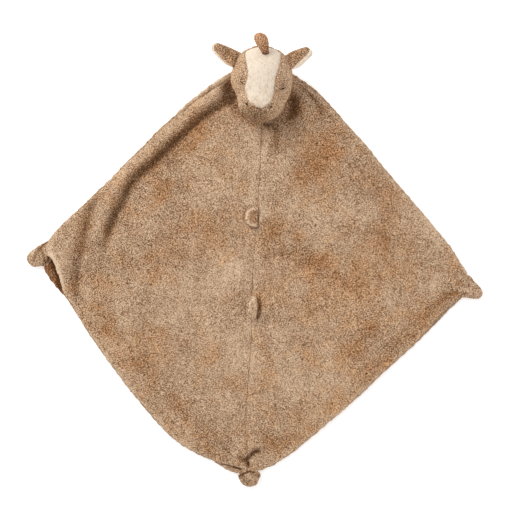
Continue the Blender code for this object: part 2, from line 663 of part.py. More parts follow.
def back_gusset(seams, middle, material, body):
    """From the round neck opening over the back of the head to the blaze at the crown."""
    crown = CROWN_ANGLE - 2 * math.pi + SEAM_GAP / CRANIUM_HALF_LENGTH
    columns = np.linspace(-1.0, 1.0, BACK_COLUMNS)
    starts = [opening_edge_turn(column, seams[2].mean(), crown) for column in columns]
    rows = np.linspace(0.0, 1.0, BACK_STEPS + 1)
    turn = np.array([[start + (crown - start) * row for start in starts] for row in rows])
    spread = np.array([[gusset_spread(t, column) for t, column in zip(row, columns)] for row in turn])
    outer, inner = (middle + head_surface(turn, spread, inset) for inset in (0.0, SKIN_THICKNESS))
    return add_part("head_back_gusset", *sheet_solid(outer, inner), material, body)


def gusset_spread(turn, column):
    return column * band_spread(turn, within(BACK_GUSSET_HALF_WIDTH))


def opening_edge_turn(column, start, crown):
    """The turn at which a column of the back gusset comes out of the neck opening."""
    near, far = start, crown
    for _ in range(SEARCH_STEPS):
        middle = (near + far) / 2
        if in_neck_opening(middle, abs(gusset_spread(middle, column))):
            near = middle
        else:
            far = middle
    return far - SEAM_GAP / CRANIUM_HALF_LENGTH


def head_stuffing(middle, material, body):
    """The fibre filling, one soft core inside the skin."""
    inset = SKIN_THICKNESS + STUFFING_CLEARANCE
    spreads = np.linspace(-math.pi / 2, math.pi / 2, CORE_RINGS + 1)
    turns = np.linspace(0, 2 * math.pi, CORE_POINTS, endpoint=False)
    rings = [middle + head_surface(turns, s, inset) for s in spreads[1:-1]]
    poles = [middle + head_surface(0.0, s, inset) for s in (spreads[0], spreads[-1])]
    return add_part("head_stuffing", *loft_solid(rings, *poles), material, body)


def neck_gather(material, body):
    """The blanket's top corner, gathered into a short round neck that flares onto the blanket."""
    centre = np.array([0.0, HEAD_PLACE - NECK_SETBACK, 0.0])
    turn = np.linspace(0, 2 * math.pi, 2 * ROUND_POINTS, endpoint=False)
    height = NECK_TOP - NECK_BOTTOM
    rings = []
    for up, flare in zip(NECK_RING_SHARES, NECK_FLARE_SHARES):
        radius = NECK_RADIUS + NECK_FLARE * flare
        z = np.full(len(turn), NECK_BOTTOM + height * up)
        rings.append(np.column_stack([radius * np.cos(turn), radius * np.sin(turn), z]) + centre)
    return add_part("neck_gather", *loft_solid(rings), material, body)


# Ears


def ear_frame(side, middle):
    """An ear's hinge, and the ways along it, across it towards the face's chin, and out of its outer side."""
    way = direction(EAR_ROOT_TURN, side * EAR_ROOT_SPREAD)
    hinge = middle + head_surface(EAR_ROOT_TURN, side * EAR_ROOT_SPREAD) + way * EAR_CLEARANCE
    along = np.array([side * math.cos(EAR_SWEEP) * math.cos(EAR_LIFT),
                      math.sin(EAR_SWEEP) * math.cos(EAR_LIFT), math.sin(EAR_LIFT)])
    level = unit(np.array([side * along[1], -side * along[0], 0.0]))
    up = unit(np.cross(along, level) * side)
    up = up if up[2] > 0 else -up
    across = math.cos(EAR_ROLL) * level + math.sin(EAR_ROLL) * up
    out = math.cos(EAR_ROLL) * up - math.sin(EAR_ROLL) * level
    return hinge, along, across, out


def ear_root(frame, sideways, bend, middle):
    """How far along the ear each column starts, so that its root follows the skin at a sewn seam's gap."""
    hinge, along, across, out = frame
    near = np.full(len(sideways), -EAR_LENGTH / 2)
    far = np.full(len(sideways), EAR_LENGTH / 2)
    for _ in range(SEARCH_STEPS):
        start = (near + far) / 2
        point = hinge + start[:, None] * along + sideways[:, None] * across - bend[:, None] * out
        clear = head_depth(point - middle, 0.0) > EAR_CLEARANCE
        far = np.where(clear, start, far)
        near = np.where(clear, near, start)
    return far


def ear_leaf(name, frame, outer, middle, material, body):
    """One of an ear's two layers: a long leaf with a round tip, arched across and thin at its rim.
    The lining lies under the outer and is wider by its rim, which shows past the outer's edge."""
    hinge, along, across, out = frame
    stations = np.asarray(EAR_RING_SHARES)
    shares = np.linspace(-1.0, 1.0, EAR_COLUMNS)
    full = np.clip(stations / EAR_STATION_SHARES[1], EAR_ROOT_SHARE, 1.0)
    half = EAR_WIDTH / 2 * smooth_through(stations, EAR_STATION_SHARES, EAR_WIDTH_SHARES)
    sideways = half[:, None] * shares[None, :]
    bend = (EAR_CUP * full)[:, None] * shares[None, :] ** 2
    sign = 1.0
    if not outer:
        sign = -1.0
        rim = (EAR_LINING_RIM * full)[:, None]
        sideways = np.hstack([sideways[:, :1] - rim, sideways, sideways[:, -1:] + rim])
        bend = np.hstack([bend[:, :1], bend, bend[:, -1:]])
        shares = np.concatenate([shares[:1], shares, shares[-1:]])
    start = ear_root(frame, sideways[0], bend[0], middle)
    length = start[None, :] + (EAR_LENGTH - start)[None, :] * stations[:, None]
    plump = np.sqrt(np.clip(1 - shares**EAR_PLUMP_POWER, 0.0, 1.0))[None, :]
    tip = np.sqrt(np.clip(1 - stations**EAR_TIP_POWER, 0.0, 1.0))
    sewn = np.where(stations > 0, 1.0, EAR_ROOT_THICKNESS_SHARE)
    layer = (EAR_LAYER - LAYER_GAP / 2) * (EAR_RIM_SHARE + (1 - EAR_RIM_SHARE) * plump * tip[:, None])
    layer = layer * sewn[:, None]
    grids = []
    for height in (LAYER_GAP / 2 + layer, np.full_like(layer, LAYER_GAP / 2)):
        lift = sign * height - bend
        grids.append(hinge + length[..., None] * along + sideways[..., None] * across + lift[..., None] * out)
    return add_part(name, *sheet_solid(*grids), material, body)


# Forelock


def forelock_root(middle):
    """On the crown, clear of the blaze by the forelock's own roundness."""
    way = direction(FORELOCK_ROOT_TURN, FORELOCK_ROOT_SPREAD)
    return middle + head_surface(FORELOCK_ROOT_TURN, FORELOCK_ROOT_SPREAD) + way * FORELOCK_CLEARANCE


def forelock(root, material, body):
    """Narrow at its root, widest near its round end, along an arch that rises, leans to -X and runs back."""
    bend = root + np.array([-FORELOCK_LEAN * FORELOCK_BEND_SHARE, FORELOCK_BACK * FORELOCK_BEND_SHARE,
                            FORELOCK_RISE])
    end = root + np.array([-FORELOCK_LEAN, FORELOCK_BACK, FORELOCK_RISE * FORELOCK_DROOP_SHARE])
    turn = np.linspace(0, 2 * math.pi, ROUND_POINTS, endpoint=False)
    rings = []
    for s in FORELOCK_RING_SHARES:
        centre = (1 - s) ** 2 * root + 2 * s * (1 - s) * bend + s * s * end
        tangent = unit((1 - s) * (bend - root) + s * (end - bend))
        share = float(smooth_through(s, FORELOCK_STATION_SHARES, FORELOCK_WIDTH_SHARES))
        side = unit([tangent[1], -tangent[0], 0.0])
        over = np.cross(side, tangent)
        rings.append([centre + FORELOCK_HALF_WIDTH * share * math.cos(t) * side
                      + FORELOCK_HALF_THICKNESS * share * math.sin(t) * over for t in turn])
    return add_part("forelock", *loft_solid(rings, root, end), material, body)


# Embroidery


def face_point(x, y):
    """The point of the face over a place in plan, from the head's middle, and the way out of it there."""
    low, high = 0.0, 2 * CRANIUM_HALF_HEIGHT
    for _ in range(SEARCH_STEPS):
        z = (low + high) / 2
        if head_depth(np.array([x, y, z]), 0.0) > 0:
            high = z
        else:
            low = z
    point = np.array([x, y, low])
    nudge = CRANIUM_HALF_HEIGHT * SLOPE_STEP_SHARE
    slope = [head_depth(point + nudge * axis, 0.0) - head_depth(point - nudge * axis, 0.0)
             for axis in np.eye(3)]
    return point, unit(slope)


def thread_bar(name, place, length, slant, middle, material, body):
    """A short raised bar of stitches that follows the face."""
    x, y = place
    run = np.array([math.cos(slant), math.sin(slant), 0.0])
    rings = []
    for share in np.linspace(-1 / 2, 1 / 2, THREAD_RINGS):
        spot = np.array([x, y, 0.0]) + run * share * length
        point, out = face_point(spot[0], spot[1])
        across = unit(np.cross(out, run))
        half = THREAD_WIDTH / 2 * (1 - THREAD_TAPER * share**2)
        foot = middle + point + out * LAYER_GAP
        head = foot + out * THREAD_HEIGHT
        rings.append([foot - across * half, foot + across * half,
                      head + across * half / 2, head - across * half / 2])
    return add_part(name, *loft_solid(rings), material, body)


def build():
    clear_scene()
    tan = plush("plush_tan", PLUSH_TAN)
    tan_back = plush("plush_tan_back", PLUSH_TAN_DARK)
    cream = plush("plush_cream", PLUSH_CREAM)
    brown = plush("plush_brown", PLUSH_BROWN)
    thread = plush("thread_brown", THREAD_BROWN, 0.6)
    fibre = plush("fibre_white", FIBRE_WHITE)

    blanket = joint_empty("blanket", (0.0, 0.0, 0.0))
    front_panel(-1, "front_panel_left", tan, blanket)
    front_panel(1, "front_panel_right", tan, blanket)
    back_panel(tan_back, blanket)

    corners = (
        ("knot_left", LEFT_CORNER, LEFT_NUB_ANGLE),
        ("knot_right", RIGHT_CORNER, RIGHT_NUB_ANGLE),
        ("knot_bottom", BOTTOM_CORNER, BOTTOM_NUB_ANGLE),
    )
    for name, corner, angle in corners:
        hinge = nub_hinge(corner, angle)
        corner_nub(name, hinge, angle, tan, joint_empty(name + "_joint", hinge, blanket))

    tabs = (
        ("seam_tab_upper", UPPER_TAB_PLACE_SHARE, UPPER_TAB_WIDTH, UPPER_TAB_LENGTH, 0.0),
        ("seam_tab_lower", LOWER_TAB_PLACE_SHARE, LOWER_TAB_WIDTH, LOWER_TAB_LENGTH, LOWER_TAB_LEAN),
    )
    for name, place_share, width, length, lean in tabs:
        hinge = tab_hinge(place_share)
        seam_tab(name, hinge, width, length, lean, tan, joint_empty(name + "_joint", hinge, blanket))

    neck_place = (0.0, HEAD_PLACE - NECK_SETBACK, NECK_BOTTOM)
    neck = joint_empty("neck_joint", neck_place, blanket)
    neck_gather(tan, neck)

    middle = head_middle()
    head = joint_empty("head_joint", (0.0, HEAD_PLACE - NECK_SETBACK - NECK_RADIUS, NECK_TOP), neck)
    seams = head_seams()
    head_side(-1, "head_side_left", seams, middle, tan, head)
    head_side(1, "head_side_right", seams, middle, tan, head)
    blaze_gusset(seams, middle, cream, head)
    back_gusset(seams, middle, tan, head)
    head_stuffing(middle, fibre, head)

    for side, name in ((-1, "ear_left"), (1, "ear_right")):
        frame = ear_frame(side, middle)
        ear = joint_empty(name + "_joint", frame[0], head)
        ear_leaf(name + "_outer", frame, True, middle, tan, ear)
        ear_leaf(name + "_lining", frame, False, middle, cream, ear)

    root = forelock_root(middle)
    forelock(root, brown, joint_empty("forelock_joint", root, head))

    for name, place, length, slant in (
        ("eye_left", LEFT_EYE_PLACE, EYE_LENGTH, LEFT_EYE_SLANT),
        ("eye_right", RIGHT_EYE_PLACE, EYE_LENGTH, RIGHT_EYE_SLANT),
        ("nostril_left", LEFT_NOSTRIL_PLACE, NOSTRIL_LENGTH, LEFT_NOSTRIL_SLANT),
        ("nostril_right", RIGHT_NOSTRIL_PLACE, NOSTRIL_LENGTH, RIGHT_NOSTRIL_SLANT),
    ):
        thread_bar(name, place, length, slant, middle, thread, head)


build()
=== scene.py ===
"""Comfort blanket lovey: the plush cloth, head, ears, nubs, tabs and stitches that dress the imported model.
Every operator makes one piece or one group of like pieces, in metres, where the model has it."""

import math

import bmesh
import bpy
import numpy as np
from bpy.props import FloatProperty, FloatVectorProperty, IntProperty, PointerProperty
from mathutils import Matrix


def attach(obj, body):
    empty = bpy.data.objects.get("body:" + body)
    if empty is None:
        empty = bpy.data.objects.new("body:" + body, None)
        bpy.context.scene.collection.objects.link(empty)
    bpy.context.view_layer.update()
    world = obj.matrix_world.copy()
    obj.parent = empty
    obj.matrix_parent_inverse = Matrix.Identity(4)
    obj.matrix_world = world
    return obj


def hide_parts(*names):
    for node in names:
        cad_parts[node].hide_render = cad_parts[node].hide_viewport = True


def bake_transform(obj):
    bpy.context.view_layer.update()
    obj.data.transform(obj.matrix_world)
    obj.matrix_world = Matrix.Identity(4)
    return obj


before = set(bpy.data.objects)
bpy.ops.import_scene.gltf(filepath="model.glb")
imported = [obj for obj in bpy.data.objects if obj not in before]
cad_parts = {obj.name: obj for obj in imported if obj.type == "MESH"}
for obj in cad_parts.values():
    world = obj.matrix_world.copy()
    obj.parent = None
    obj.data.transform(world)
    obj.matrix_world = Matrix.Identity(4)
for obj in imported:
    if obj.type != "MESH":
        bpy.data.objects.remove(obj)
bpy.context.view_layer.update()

bl_info = {
    "name": "Comfort Blanket Lovey",
    "version": (1, 0, 0),
    "blender": (4, 5, 0),
    "location": "View3D > Sidebar > Lovey",
    "description": "Makes a plush comfort blanket with a stuffed pony head",
    "category": "Add Mesh",
}

MM = 0.001
HAND = {-1: "left", 1: "right"}

# Blanket outline in plan, in millimetres: the corners, the edges' lengths straight from corner to corner, and how far
# each edge bows out from there
CORNERS = {"top": (0, 219.5), "left": (-233.1, -0.7), "right": (232.9, -17.7), "bottom": (3, -232.8)}
EDGE_LENGTHS = {"upper_left": 320.7, "upper_right": 332.4, "lower_left": 331.1, "lower_right": 314.8}
EDGES = {
    "upper_left": ("top", "left", (
        (0, 0), (.03, 7), (.07, 12.8), (.144, 18.2), (.215, 20.6), (.281, 21.6), (.342, 20.9), (.424, 20.4),
        (.48, 18.8), (.538, 17.5), (.596, 16.3), (.651, 14.6), (.712, 13.7), (.77, 12.8), (.831, 12.1),
        (.892, 11.6), (.945, 8.9), (1, 0))),
    "upper_right": ("top", "right", (
        (0, 0), (.03, 8), (.086, 16.3), (.121, 19.2), (.156, 22.1), (.19, 23.9), (.242, 24.4), (.296, 24.3),
        (.366, 24), (.42, 23.9), (.472, 23), (.573, 21.1), (.678, 20), (.781, 18.6), (.882, 16.4),
        (.927, 13.6), (.975, 9.5), (1, 0))),
    "lower_left": ("left", "bottom", (
        (0, 0), (.03, 9), (.06, 12.8), (.108, 14.6), (.157, 15), (.206, 16.2), (.258, 17.5), (.362, 19.2),
        (.47, 20), (.576, 21.3), (.679, 23.5), (.729, 24.7), (.785, 24.5), (.849, 22), (.919, 17.6),
        (.965, 11.6), (1, 0))),
    "lower_right": ("right", "bottom", (
        (0, 0), (.033, 6.4), (.099, 8), (.155, 9.9), (.274, 12.1), (.4, 13), (.521, 14.6), (.647, 15.3),
        (.711, 15.2), (.784, 14.4), (.846, 13.9), (.936, 8.8), (1, 0))),
}
SEAM = ((-240, 3), (-229, 2.2), (-185, -2.8), (-141, -2.8), (-91, -.5), (-20, -1.9), (63, 1), (151, 2.05), (225, 0))

# How far the front's edge lies inside the back's: beside the head, at the left corner's fold and at the bottom
FRONT_INSETS = {
    "upper_left": ((0, 0), (.06, 3), (.14, 6.2), (.22, 5.2), (.3, 3.6), (.39, 2.5), (.55, 1.6), (.67, .9), (.76, .3),
                   (1, 0)),
    "upper_right": ((0, 0), (.06, 2), (.12, 3), (.2, 2.2), (.3, .8), (.5, .4), (1, 0)),
    "lower_left": ((0, 0), (.01, 5), (.022, 10.4), (.035, 13.2), (.05, 13.6), (.07, 12.2), (.0975, 9.2), (.121, 5.4),
                   (.145, 1.3), (.17, .3), (.88, .3), (.908, 3.4), (.94, 7.6), (.97, 8.6), (1, 0)),
    "lower_right": ((0, 0), (.03, 1.3), (.07, 2.6), (.16, 2.6), (.26, 1.3), (.4, .4), (.9, .4), (1, 0)),
}

# Folds of the front, in millimetres: the line, the rise (below zero for a valley), half width on the line's
# # left and right, how dark the pile is painted there as painted shade, and the share of the line over which it fades
# in and out
FOLDS = (
    (((-31, 196), (-58, 176), (-84, 151), (-112, 122), (-140, 94), (-160, 66), (-172, 38), (-180, 10), (-184, -22)),
     6.5, 13, 9, 0, .16),
    (((-20, 189), (-33, 178.7), (-51.2, 166), (-66.1, 154.5), (-78.8, 141.9), (-91.8, 129.3), (-116.8, 103.5),
      (-138.1, 81.5), (-149.4, 56.4), (-158.8, 38.2), (-163.6, 16.7), (-166, -4)), -2.4, 4.2, 6.5, .88, .14),
    (((-165, 76), (-178.7, 59.8), (-186.7, 37.1), (-191.3, 9), (-195.1, -7.9), (-195.1, -38), (-191.5, -65)),
     -2.6, 5, 7, .55, .2),
    (((-206, 34), (-214, 12), (-213, -12), (-207, -32)), 2.6, 9, 8, 0, .3),
    (((-14, 213), (-29, 204), (-44, 195.6), (-60, 185.1), (-77.7, 170.5), (-96.7, 151.1)), -1.6, 2, 2.6, .75, .2),
    # The next two valleys lie beside the head's cheeks; their darkness is painted shadow of the head
    (((-34, 213), (-37.5, 203), (-38, 192), (-35, 181), (-29, 170)), -2.8, 9, 7.5, 1, .28),
    (((30, 198), (34.5, 184), (36.5, 170), (34.5, 159), (29, 148)), -3, 7, 6, .6, .36),
    (((34, 207), (44, 197), (54.6, 186.6), (66, 171.6), (74, 158)), -1.8, 2.6, 3.4, .45, .25),
    (((46, 178), (56, 160), (58, 138)), 2.6, 8, 9, 0, .4),
    (((14, 158), (11.5, 146), (11, 130), (9, 110)), 2.4, 5.2, 5.2, 0, .3),
    (((6.4, 156), (3.2, 147), (3, 137), (3.6, 120)), -1.2, 1.9, 2.4, .25, .3),
    (((12, 156), (18.5, 145), (19.5, 130), (17, 112)), -1.3, 2.6, 3.6, .3, .3),
    (((-20, 158), (-30, 140), (-36, 118)), 1.8, 9, 9, 0, .4),
    (((238, -18), (222, -23), (204.4, -37), (186, -54)), -1.7, 4.4, 4.6, .24, .3),
    (((230.4, -30), (213, -52), (189.4, -77)), 1.8, 5, 4, 0, .3),
    (((238, -10), (216, -4), (192, 4)), -1.2, 4, 4, .2, .3),
    (((18, -206.6), (12, -208), (7.4, -209.6), (3, -214), (-.4, -218.2), (1.4, -223), (2.8, -230)),
     -3.6, 1.6, 2.5, .95, .26),
    (((22, -203), (10, -205), (1, -211), (-5, -219), (-1, -230)), -1.4, 6, 7, .14, .35),
    (((-12, -213), (-6, -217), (-.5, -219.4)), -1.8, 1.4, 2.2, .5, .35),
    (((36, -197), (24, -205), (10, -209)), -1.4, 4, 6, .2, .4),
    (((-14, -212), (-26, -198), (-42, -176)), 2, 6, 6, 0, .4),
    (((20, -212), (30, -190), (34, -166)), 1.6, 6, 6, 0, .4),
    # Painted shadow on the cloth round the head's outline, and in the crease under the chin
    (((-39, 190), (-32.5, 174), (-19, 159.5), (-4.6, 152.5), (8.7, 149.5), (25, 156), (37.5, 170.5), (37.5, 192)),
     0, 14, 5, .42, .1),
    (((1, 153), (8.5, 151.2), (16, 153.6)), -.8, 1.8, 1.6, .6, .3),
    # Painted shadow on the cloth round the two tabs
    (((1.4, 55), (1.3, 46), (.6, 39), (-3, 36.4), (-8, 38)), -.5, 1.1, 1.5, .5, .2),
    (((-3, 62), (-9, 60.6), (-13.4, 55), (-14.4, 48), (-12, 41)), 0, 1.2, 1.4, .22, .25),
    (((1, -35), (5, -40), (7, -46), (6.4, -54), (3.4, -61), (0, -65)), -.6, 2.8, 1.8, .62, .2),
    (((-1, -36), (-5, -42), (-8.4, -50), (-7.8, -57), (-4, -63)), 0, 1.2, 1.4, .3, .25),
    (((5, 76), (4.5, 62), (5.6, 50), (5, 38)), 1.1, 3.4, 3.6, 0, .3),
    (((6.8, 24.5), (31.7, 34.3), (60.9, 44.2)), -.7, 2.6, 3.4, .22, .4),
    (((3.2, 2), (27, 10), (52, 15)), -.8, 3, 3.6, .26, .4),
    (((40, 58), (64, 73), (98, 86)), -.8, 7, 6, .2, .4),
    (((-150, -60), (-112, -78.7), (-56.7, -93)), -.7, 6, 6, .14, .4),
    (((-120, 20), (-84, 4), (-46, -6)), -.6, 7, 7, .12, .4),
    (((60, -60), (96, -84), (128, -118)), -.7, 7, 7, .16, .4),
    (((84, 40), (130, 34), (172, 20)), -.7, 7, 7, .18, .4),
)

# How the pile is brushed, with some painted light and shade: middle of each patch, its half length and half width in
# # millimetres, its turn in degrees, and how light it lies, or below zero how dark and warm
LIE_STRENGTH = .62
LIE = (
    (-102, 77, 22, 11, 18, -.5), (-48, 38, 46, 16, 6, -.28), (-112, -4, 15, 14, -2, -.35),
    (-32, 63, 15, 9, -2, -.2), (65, 114, 29, 18, 68, -.55), (93, 143, 24, 9, -47, -.3),
    (143, 78, 29, 9, -62, -.45), (48, 105, 9, 8, -2, -.45), (19, 40, 20, 11, 68, -.5), (45, 13, 37, 13, -14, -.42),
    (74, -4, 22, 13, -22, -.4), (140, 34, 29, 8, -77, -.4), (127, -70, 22, 14, 58, -.55),
    (167, 24, 15, 10, -62, -.4), (189, -53, 26, 10, 40, -.5), (159, -86, 24, 10, 43, -.45),
    (101, -21, 20, 12, -2, -.3), (110, -99, 18, 9, 58, -.35), (122, -122, 29, 9, 40, -.3),
    (-158, -72, 20, 9, -62, -.5), (-122, -114, 37, 9, -47, -.42), (-80, -159, 29, 9, -54, -.38),
    (-46, -193, 24, 9, -40, -.45), (46, -193, 26, 9, 20, -.38), (-19, -134, 11, 8, -2, -.32),
    (15, -188, 11, 8, -42, -.4), (59, -160, 15, 9, 38, -.25), (2, 44, 9, 7, -2, -.2), (3, -55, 10, 6, 58, -.4),
    (-46, 99, 24, 13, -32, -.12), (13, -134, 13, 7, 78, -.2), (-6, 112, 37, 9, 82, .3), (0, 63, 37, 8, -88, .3),
    (-21, 111, 20, 10, -42, .42), (-18, -11, 20, 15, 8, .48), (102, 61, 29, 22, 48, .4),
    (189, 31, 29, 14, -57, .36), (44, -133, 22, 15, -22, .36), (-88, -65, 33, 11, 8, .25),
    (-12, -110, 18, 15, -2, .22), (30, 115, 26, 7, 53, .36), (87, -117, 20, 10, 18, .24),
    (206, -16, 22, 8, 13, .3), (-105, 33, 14, 11, -2, .22), (25, -76, 24, 9, -27, .25),
    (31, -183, 15, 8, -32, .32), (-2, -77, 22, 8, 88, .25), (144, -36, 20, 11, 28, .18), (85, -71, 29, 13, 8, .15),
    (-59, -33, 33, 15, 3, .12), (-135, -47, 24, 9, 68, .18), (-178, -7, 37, 8, 78, .3), (-150, 57, 29, 6, 50, .2),
    # The first two patches here are a painted highlight along the upper right edge
    (115, 151, 44, 4, -49, .25), (184, 70, 44, 4, -54, .25), (3, 126, 24, 6, 86, .3), (7, 58, 15, 4.5, 84, .5),
    # The first patch here is painted shade in the valley by the right nub
    (221, -26, 17, 5, 38, -.7), (-92, 118, 40, 12, 42, -.5), (-60, 148, 30, 10, 40, -.4),
)

# Head, from its middle: two blended masses, and the seams between its panels
HEAD_MIDDLE = np.array([0, 193, 38.8993]) * MM
MASSES = (((0, 8, 0), (33.2, 33.3, 29)), ((0, -22, 5), (24, 19.6, 21.5)))
MASS_BLEND = 10 * MM
CROWN_TURN, NOSE_TURN = math.radians(77), math.radians(-50)
# The blaze from the crown, 0, to the nose, 1, in millimetres: its half width, and how far it lies to the side
BLAZE = ((0, 19.5), (.16, 19.3), (.35, 17), (.53, 15.2), (.72, 16.2), (.82, 15.6), (.9, 13.5), (.96, 9.4), (1, 0))
BLAZE_DRIFT = ((0, 0), (.5, -.2), (.7, -2), (1, -2))
BACK_GUSSET_HALF_WIDTH = 12 * MM
NECK_OPENING_RADIUS, NECK_PLACE = 12.7 * MM, -4 * MM
SKIN = 3 * MM
# Metres of skin to a radian, across the face and along it
SKIN_ACROSS, SKIN_ALONG = .031, .033


# The add-on's own settings


def length_setting(name, description, default, least=0.0):
    return FloatProperty(name=name, description=description, default=default, min=least, unit="LENGTH")


def colour_setting(name, description, default):
    return FloatVectorProperty(name=name, description=description, default=default, min=0, max=1, subtype="COLOR")


class LoveyCloth(bpy.types.PropertyGroup):
    """Sizes of the blanket's cloth and its pile."""

    curl_size: length_setting("Curl size", "Width of one curl of the pile", .0018, .001)
    curl_height: length_setting("Curl height", "How far the curls stand up", .0006)
    lump_size: length_setting("Lump size", "Width of the cloth's uneven patches", .016, .004)
    lump_height: length_setting("Lump height", "How far the patches rise", .0012)
    turned_edge: length_setting("Turned edge", "Radius of the turned edge", .0036, .001)
    fold_share: FloatProperty(name="Fold height", description="Height of the folds, 1 as laid out", default=1.0,
                              min=0, max=1.5, subtype="FACTOR")
    seed: IntProperty(name="Seed", description="Changes the lie of the pile", default=3)


class LoveyHead(bpy.types.PropertyGroup):
    """Sizes of the head's plush, seams and embroidery."""

    curl_size: length_setting("Curl size", "Width of one curl of the head's pile", .0017, .0008)
    curl_height: length_setting("Curl height", "How far the head's pile stands up", .00042)
    seam_depth: length_setting("Seam depth", "How far the seams draw the skin in", .0007)
    stitch_pitch: length_setting("Stitch pitch", "Distance from one stitch to the next", .0022, .001)
    stitch_length: length_setting("Stitch length", "Length of one stitch across a seam", .0016, .0005)


class LoveyColours(bpy.types.PropertyGroup):
    """Colours of the plush, the thread and the filling."""

    tan: colour_setting("Tan", "Tan plush", (0.490, 0.316, 0.190))
    cream: colour_setting("Cream", "Blaze and ear linings", (0.83, 0.70, 0.56))
    brown: colour_setting("Brown", "Forelock", (0.46, 0.242, 0.125))
    thread: colour_setting("Thread", "Eyes and nostrils", (0.042, 0.026, 0.017))
    filling: colour_setting("Filling", "Fibre filling", (0.86, 0.86, 0.84))


# Shapes


def through(at, pairs):
    """A smooth curve through stations given as (station, value) pairs."""
    at, table = np.asarray(at, float), np.asarray(pairs, float)
    stations, values = table[:, 0], table[:, 1]
    slopes = np.gradient(values, stations)
    i = np.clip(np.searchsorted(stations, at, side="right") - 1, 0, len(stations) - 2)
    step = stations[i + 1] - stations[i]
    u = np.clip((at - stations[i]) / step, 0, 1)
    start = (1 + 2 * u) * (1 - u) ** 2 * values[i] + u * (1 - u) ** 2 * step * slopes[i]
    return start + u * u * (3 - 2 * u) * values[i + 1] + u * u * (u - 1) * step * slopes[i + 1]


def smooth(x, low, high):
    """0 up to low, 1 from high on, and an even rise between them."""
    t = np.clip((x - low) / (high - low), 0, 1)
    return t * t * (3 - 2 * t)


def bell(*spans):
    """1 where every span is 0, falling to almost nothing by 2."""
    return np.exp(-sum(span ** 2 for span in spans))


def whole_turn(count):
    """Even angles all the way round."""
    return np.linspace(0, 2 * math.pi, count, endpoint=False)


def unit(vector):
    """The vector, or each of several, at length 1."""
    vector = np.asarray(vector, float)
    return vector / np.linalg.norm(vector, axis=-1, keepdims=True)


def swell(points, wavelength, seed, count=7):
    """Soft, even unevenness between about -1 and 1: waves in seeded directions."""
    chance = np.random.default_rng(seed)
    total = np.zeros(len(points))
    for _ in range(count):
        way = unit(chance.normal(size=points.shape[1]))
        length = wavelength * chance.uniform(.7, 1.5)
        total += np.cos(points @ way * 2 * math.pi / length + chance.uniform(0, 2 * math.pi))
    return total / math.sqrt(count)


def halving(low, high, inside, rounds):
    """Closes in on the place where a test turns false: the last value inside it, and the first outside."""
    for _ in range(rounds):
        middle = (low + high) / 2
        good = inside(middle)
        low, high = np.where(good, middle, low), np.where(good, high, middle)
    return low, high


def add_object(name, data):
    thing = bpy.data.objects.new(name, data)
    bpy.context.scene.collection.objects.link(thing)
    return thing


def add_piece(name, points, faces, nap=None, fold=(), lie=()):
    """A closed mesh, its faces turned outwards. The nap says where the pile stands; the painted shade how dark the
    pile is painted in creases, seams and shadowed places, below zero a painted highlight; and the lie how light or
    dark the pile is brushed, with some painted light and shade. Points past the end of one of these lists get 0."""
    mesh = bpy.data.meshes.new(name)
    mesh.from_pydata(np.asarray(points, float).tolist(), [], faces)
    form = bmesh.new()
    form.from_mesh(mesh)
    bmesh.ops.recalc_face_normals(form, faces=form.faces)
    form.to_mesh(mesh)
    form.free()
    mesh.shade_smooth()
    count = len(mesh.vertices)
    for title, values in (("nap", np.ones(count) if nap is None else nap), ("fold", fold), ("lie", lie)):
        full = np.zeros(count, np.float32)
        full[:len(values)] = values
        mesh.attributes.new(title, "FLOAT", "POINT").data.foreach_set("value", full)
    return add_object(name, mesh)


def declare(piece, node, body=None):
    """What a piece stands for: the body it rides on and the node it replaces."""
    if body:
        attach(piece, body)
    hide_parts(node)
    return piece


def grid_faces(rows, columns, start=0, wrap=False):
    """Four-sided faces over rows of points, joined round where they wrap."""
    a = np.arange(rows - 1)[:, None] * columns
    b = np.arange(columns if wrap else columns - 1)[None, :]
    c = (b + 1) % columns
    quads = np.stack([a + b, a + c, a + columns + c, a + columns + b], axis=-1).reshape(-1, 4) + start
    return quads.tolist()


def rim(rows, columns):
    """The loop of point numbers round a grid."""
    number = np.arange(rows * columns).reshape(rows, columns)
    return [*number[0].tolist(), *number[1:, -1].tolist(), *number[-1, -2::-1].tolist(),
            *number[-2:0:-1, 0].tolist()]


def half_square(count, start=0):
    """A half square in rows of one point, two points and so on: the points as shares of its two sides, its
    three-sided faces, and the loop of point numbers round it."""
    a, b = np.tril_indices(count + 1)
    shares = a / count, b / count
    a, b = np.tril_indices(count)
    low, high = a * (a + 1) // 2 + b, (a + 1) * (a + 2) // 2 + b
    faces = np.vstack([np.stack([low, high, high + 1], axis=1), np.stack([low, high + 1, low + 1], axis=1)[b < a]])
    row = np.arange(count + 1)
    first = row * (row + 1) // 2
    loop = np.concatenate([first, first[-1] + row[1:], (first + row)[count - 1:0:-1]])
    return shares, (faces + start).tolist(), loop.tolist()


def sew(outer_loop, inner_loop, start):
    """Faces that close the gap from a dense loop to a sparse one, several dense edges to each sparse edge."""
    step, count = len(outer_loop) // len(inner_loop), len(inner_loop)
    faces = []
    for k in range(count):
        dense = [outer_loop[(k * step + i) % len(outer_loop)] for i in range(step + 1)]
        faces.append(dense + [start + inner_loop[(k + 1) % count], start + inner_loop[k]])
    return faces


def cap(start, around, pole):
    """Faces from a ring of points to one point."""
    return [[start + k, start + (k + 1) % around, pole] for k in range(around)]


def layered_grid(name, outer, inner, **looks):
    """A thin closed layer from a dense outer grid and an inner grid that is as dense or sparser."""
    (rows, columns), (inner_rows, inner_columns) = outer.shape[:2], inner.shape[:2]
    start = rows * columns
    faces = grid_faces(rows, columns) + grid_faces(inner_rows, inner_columns, start)
    faces += sew(rim(rows, columns), rim(inner_rows, inner_columns), start)
    return add_piece(name, np.vstack([outer.reshape(-1, 3), inner.reshape(-1, 3)]), faces, **looks)


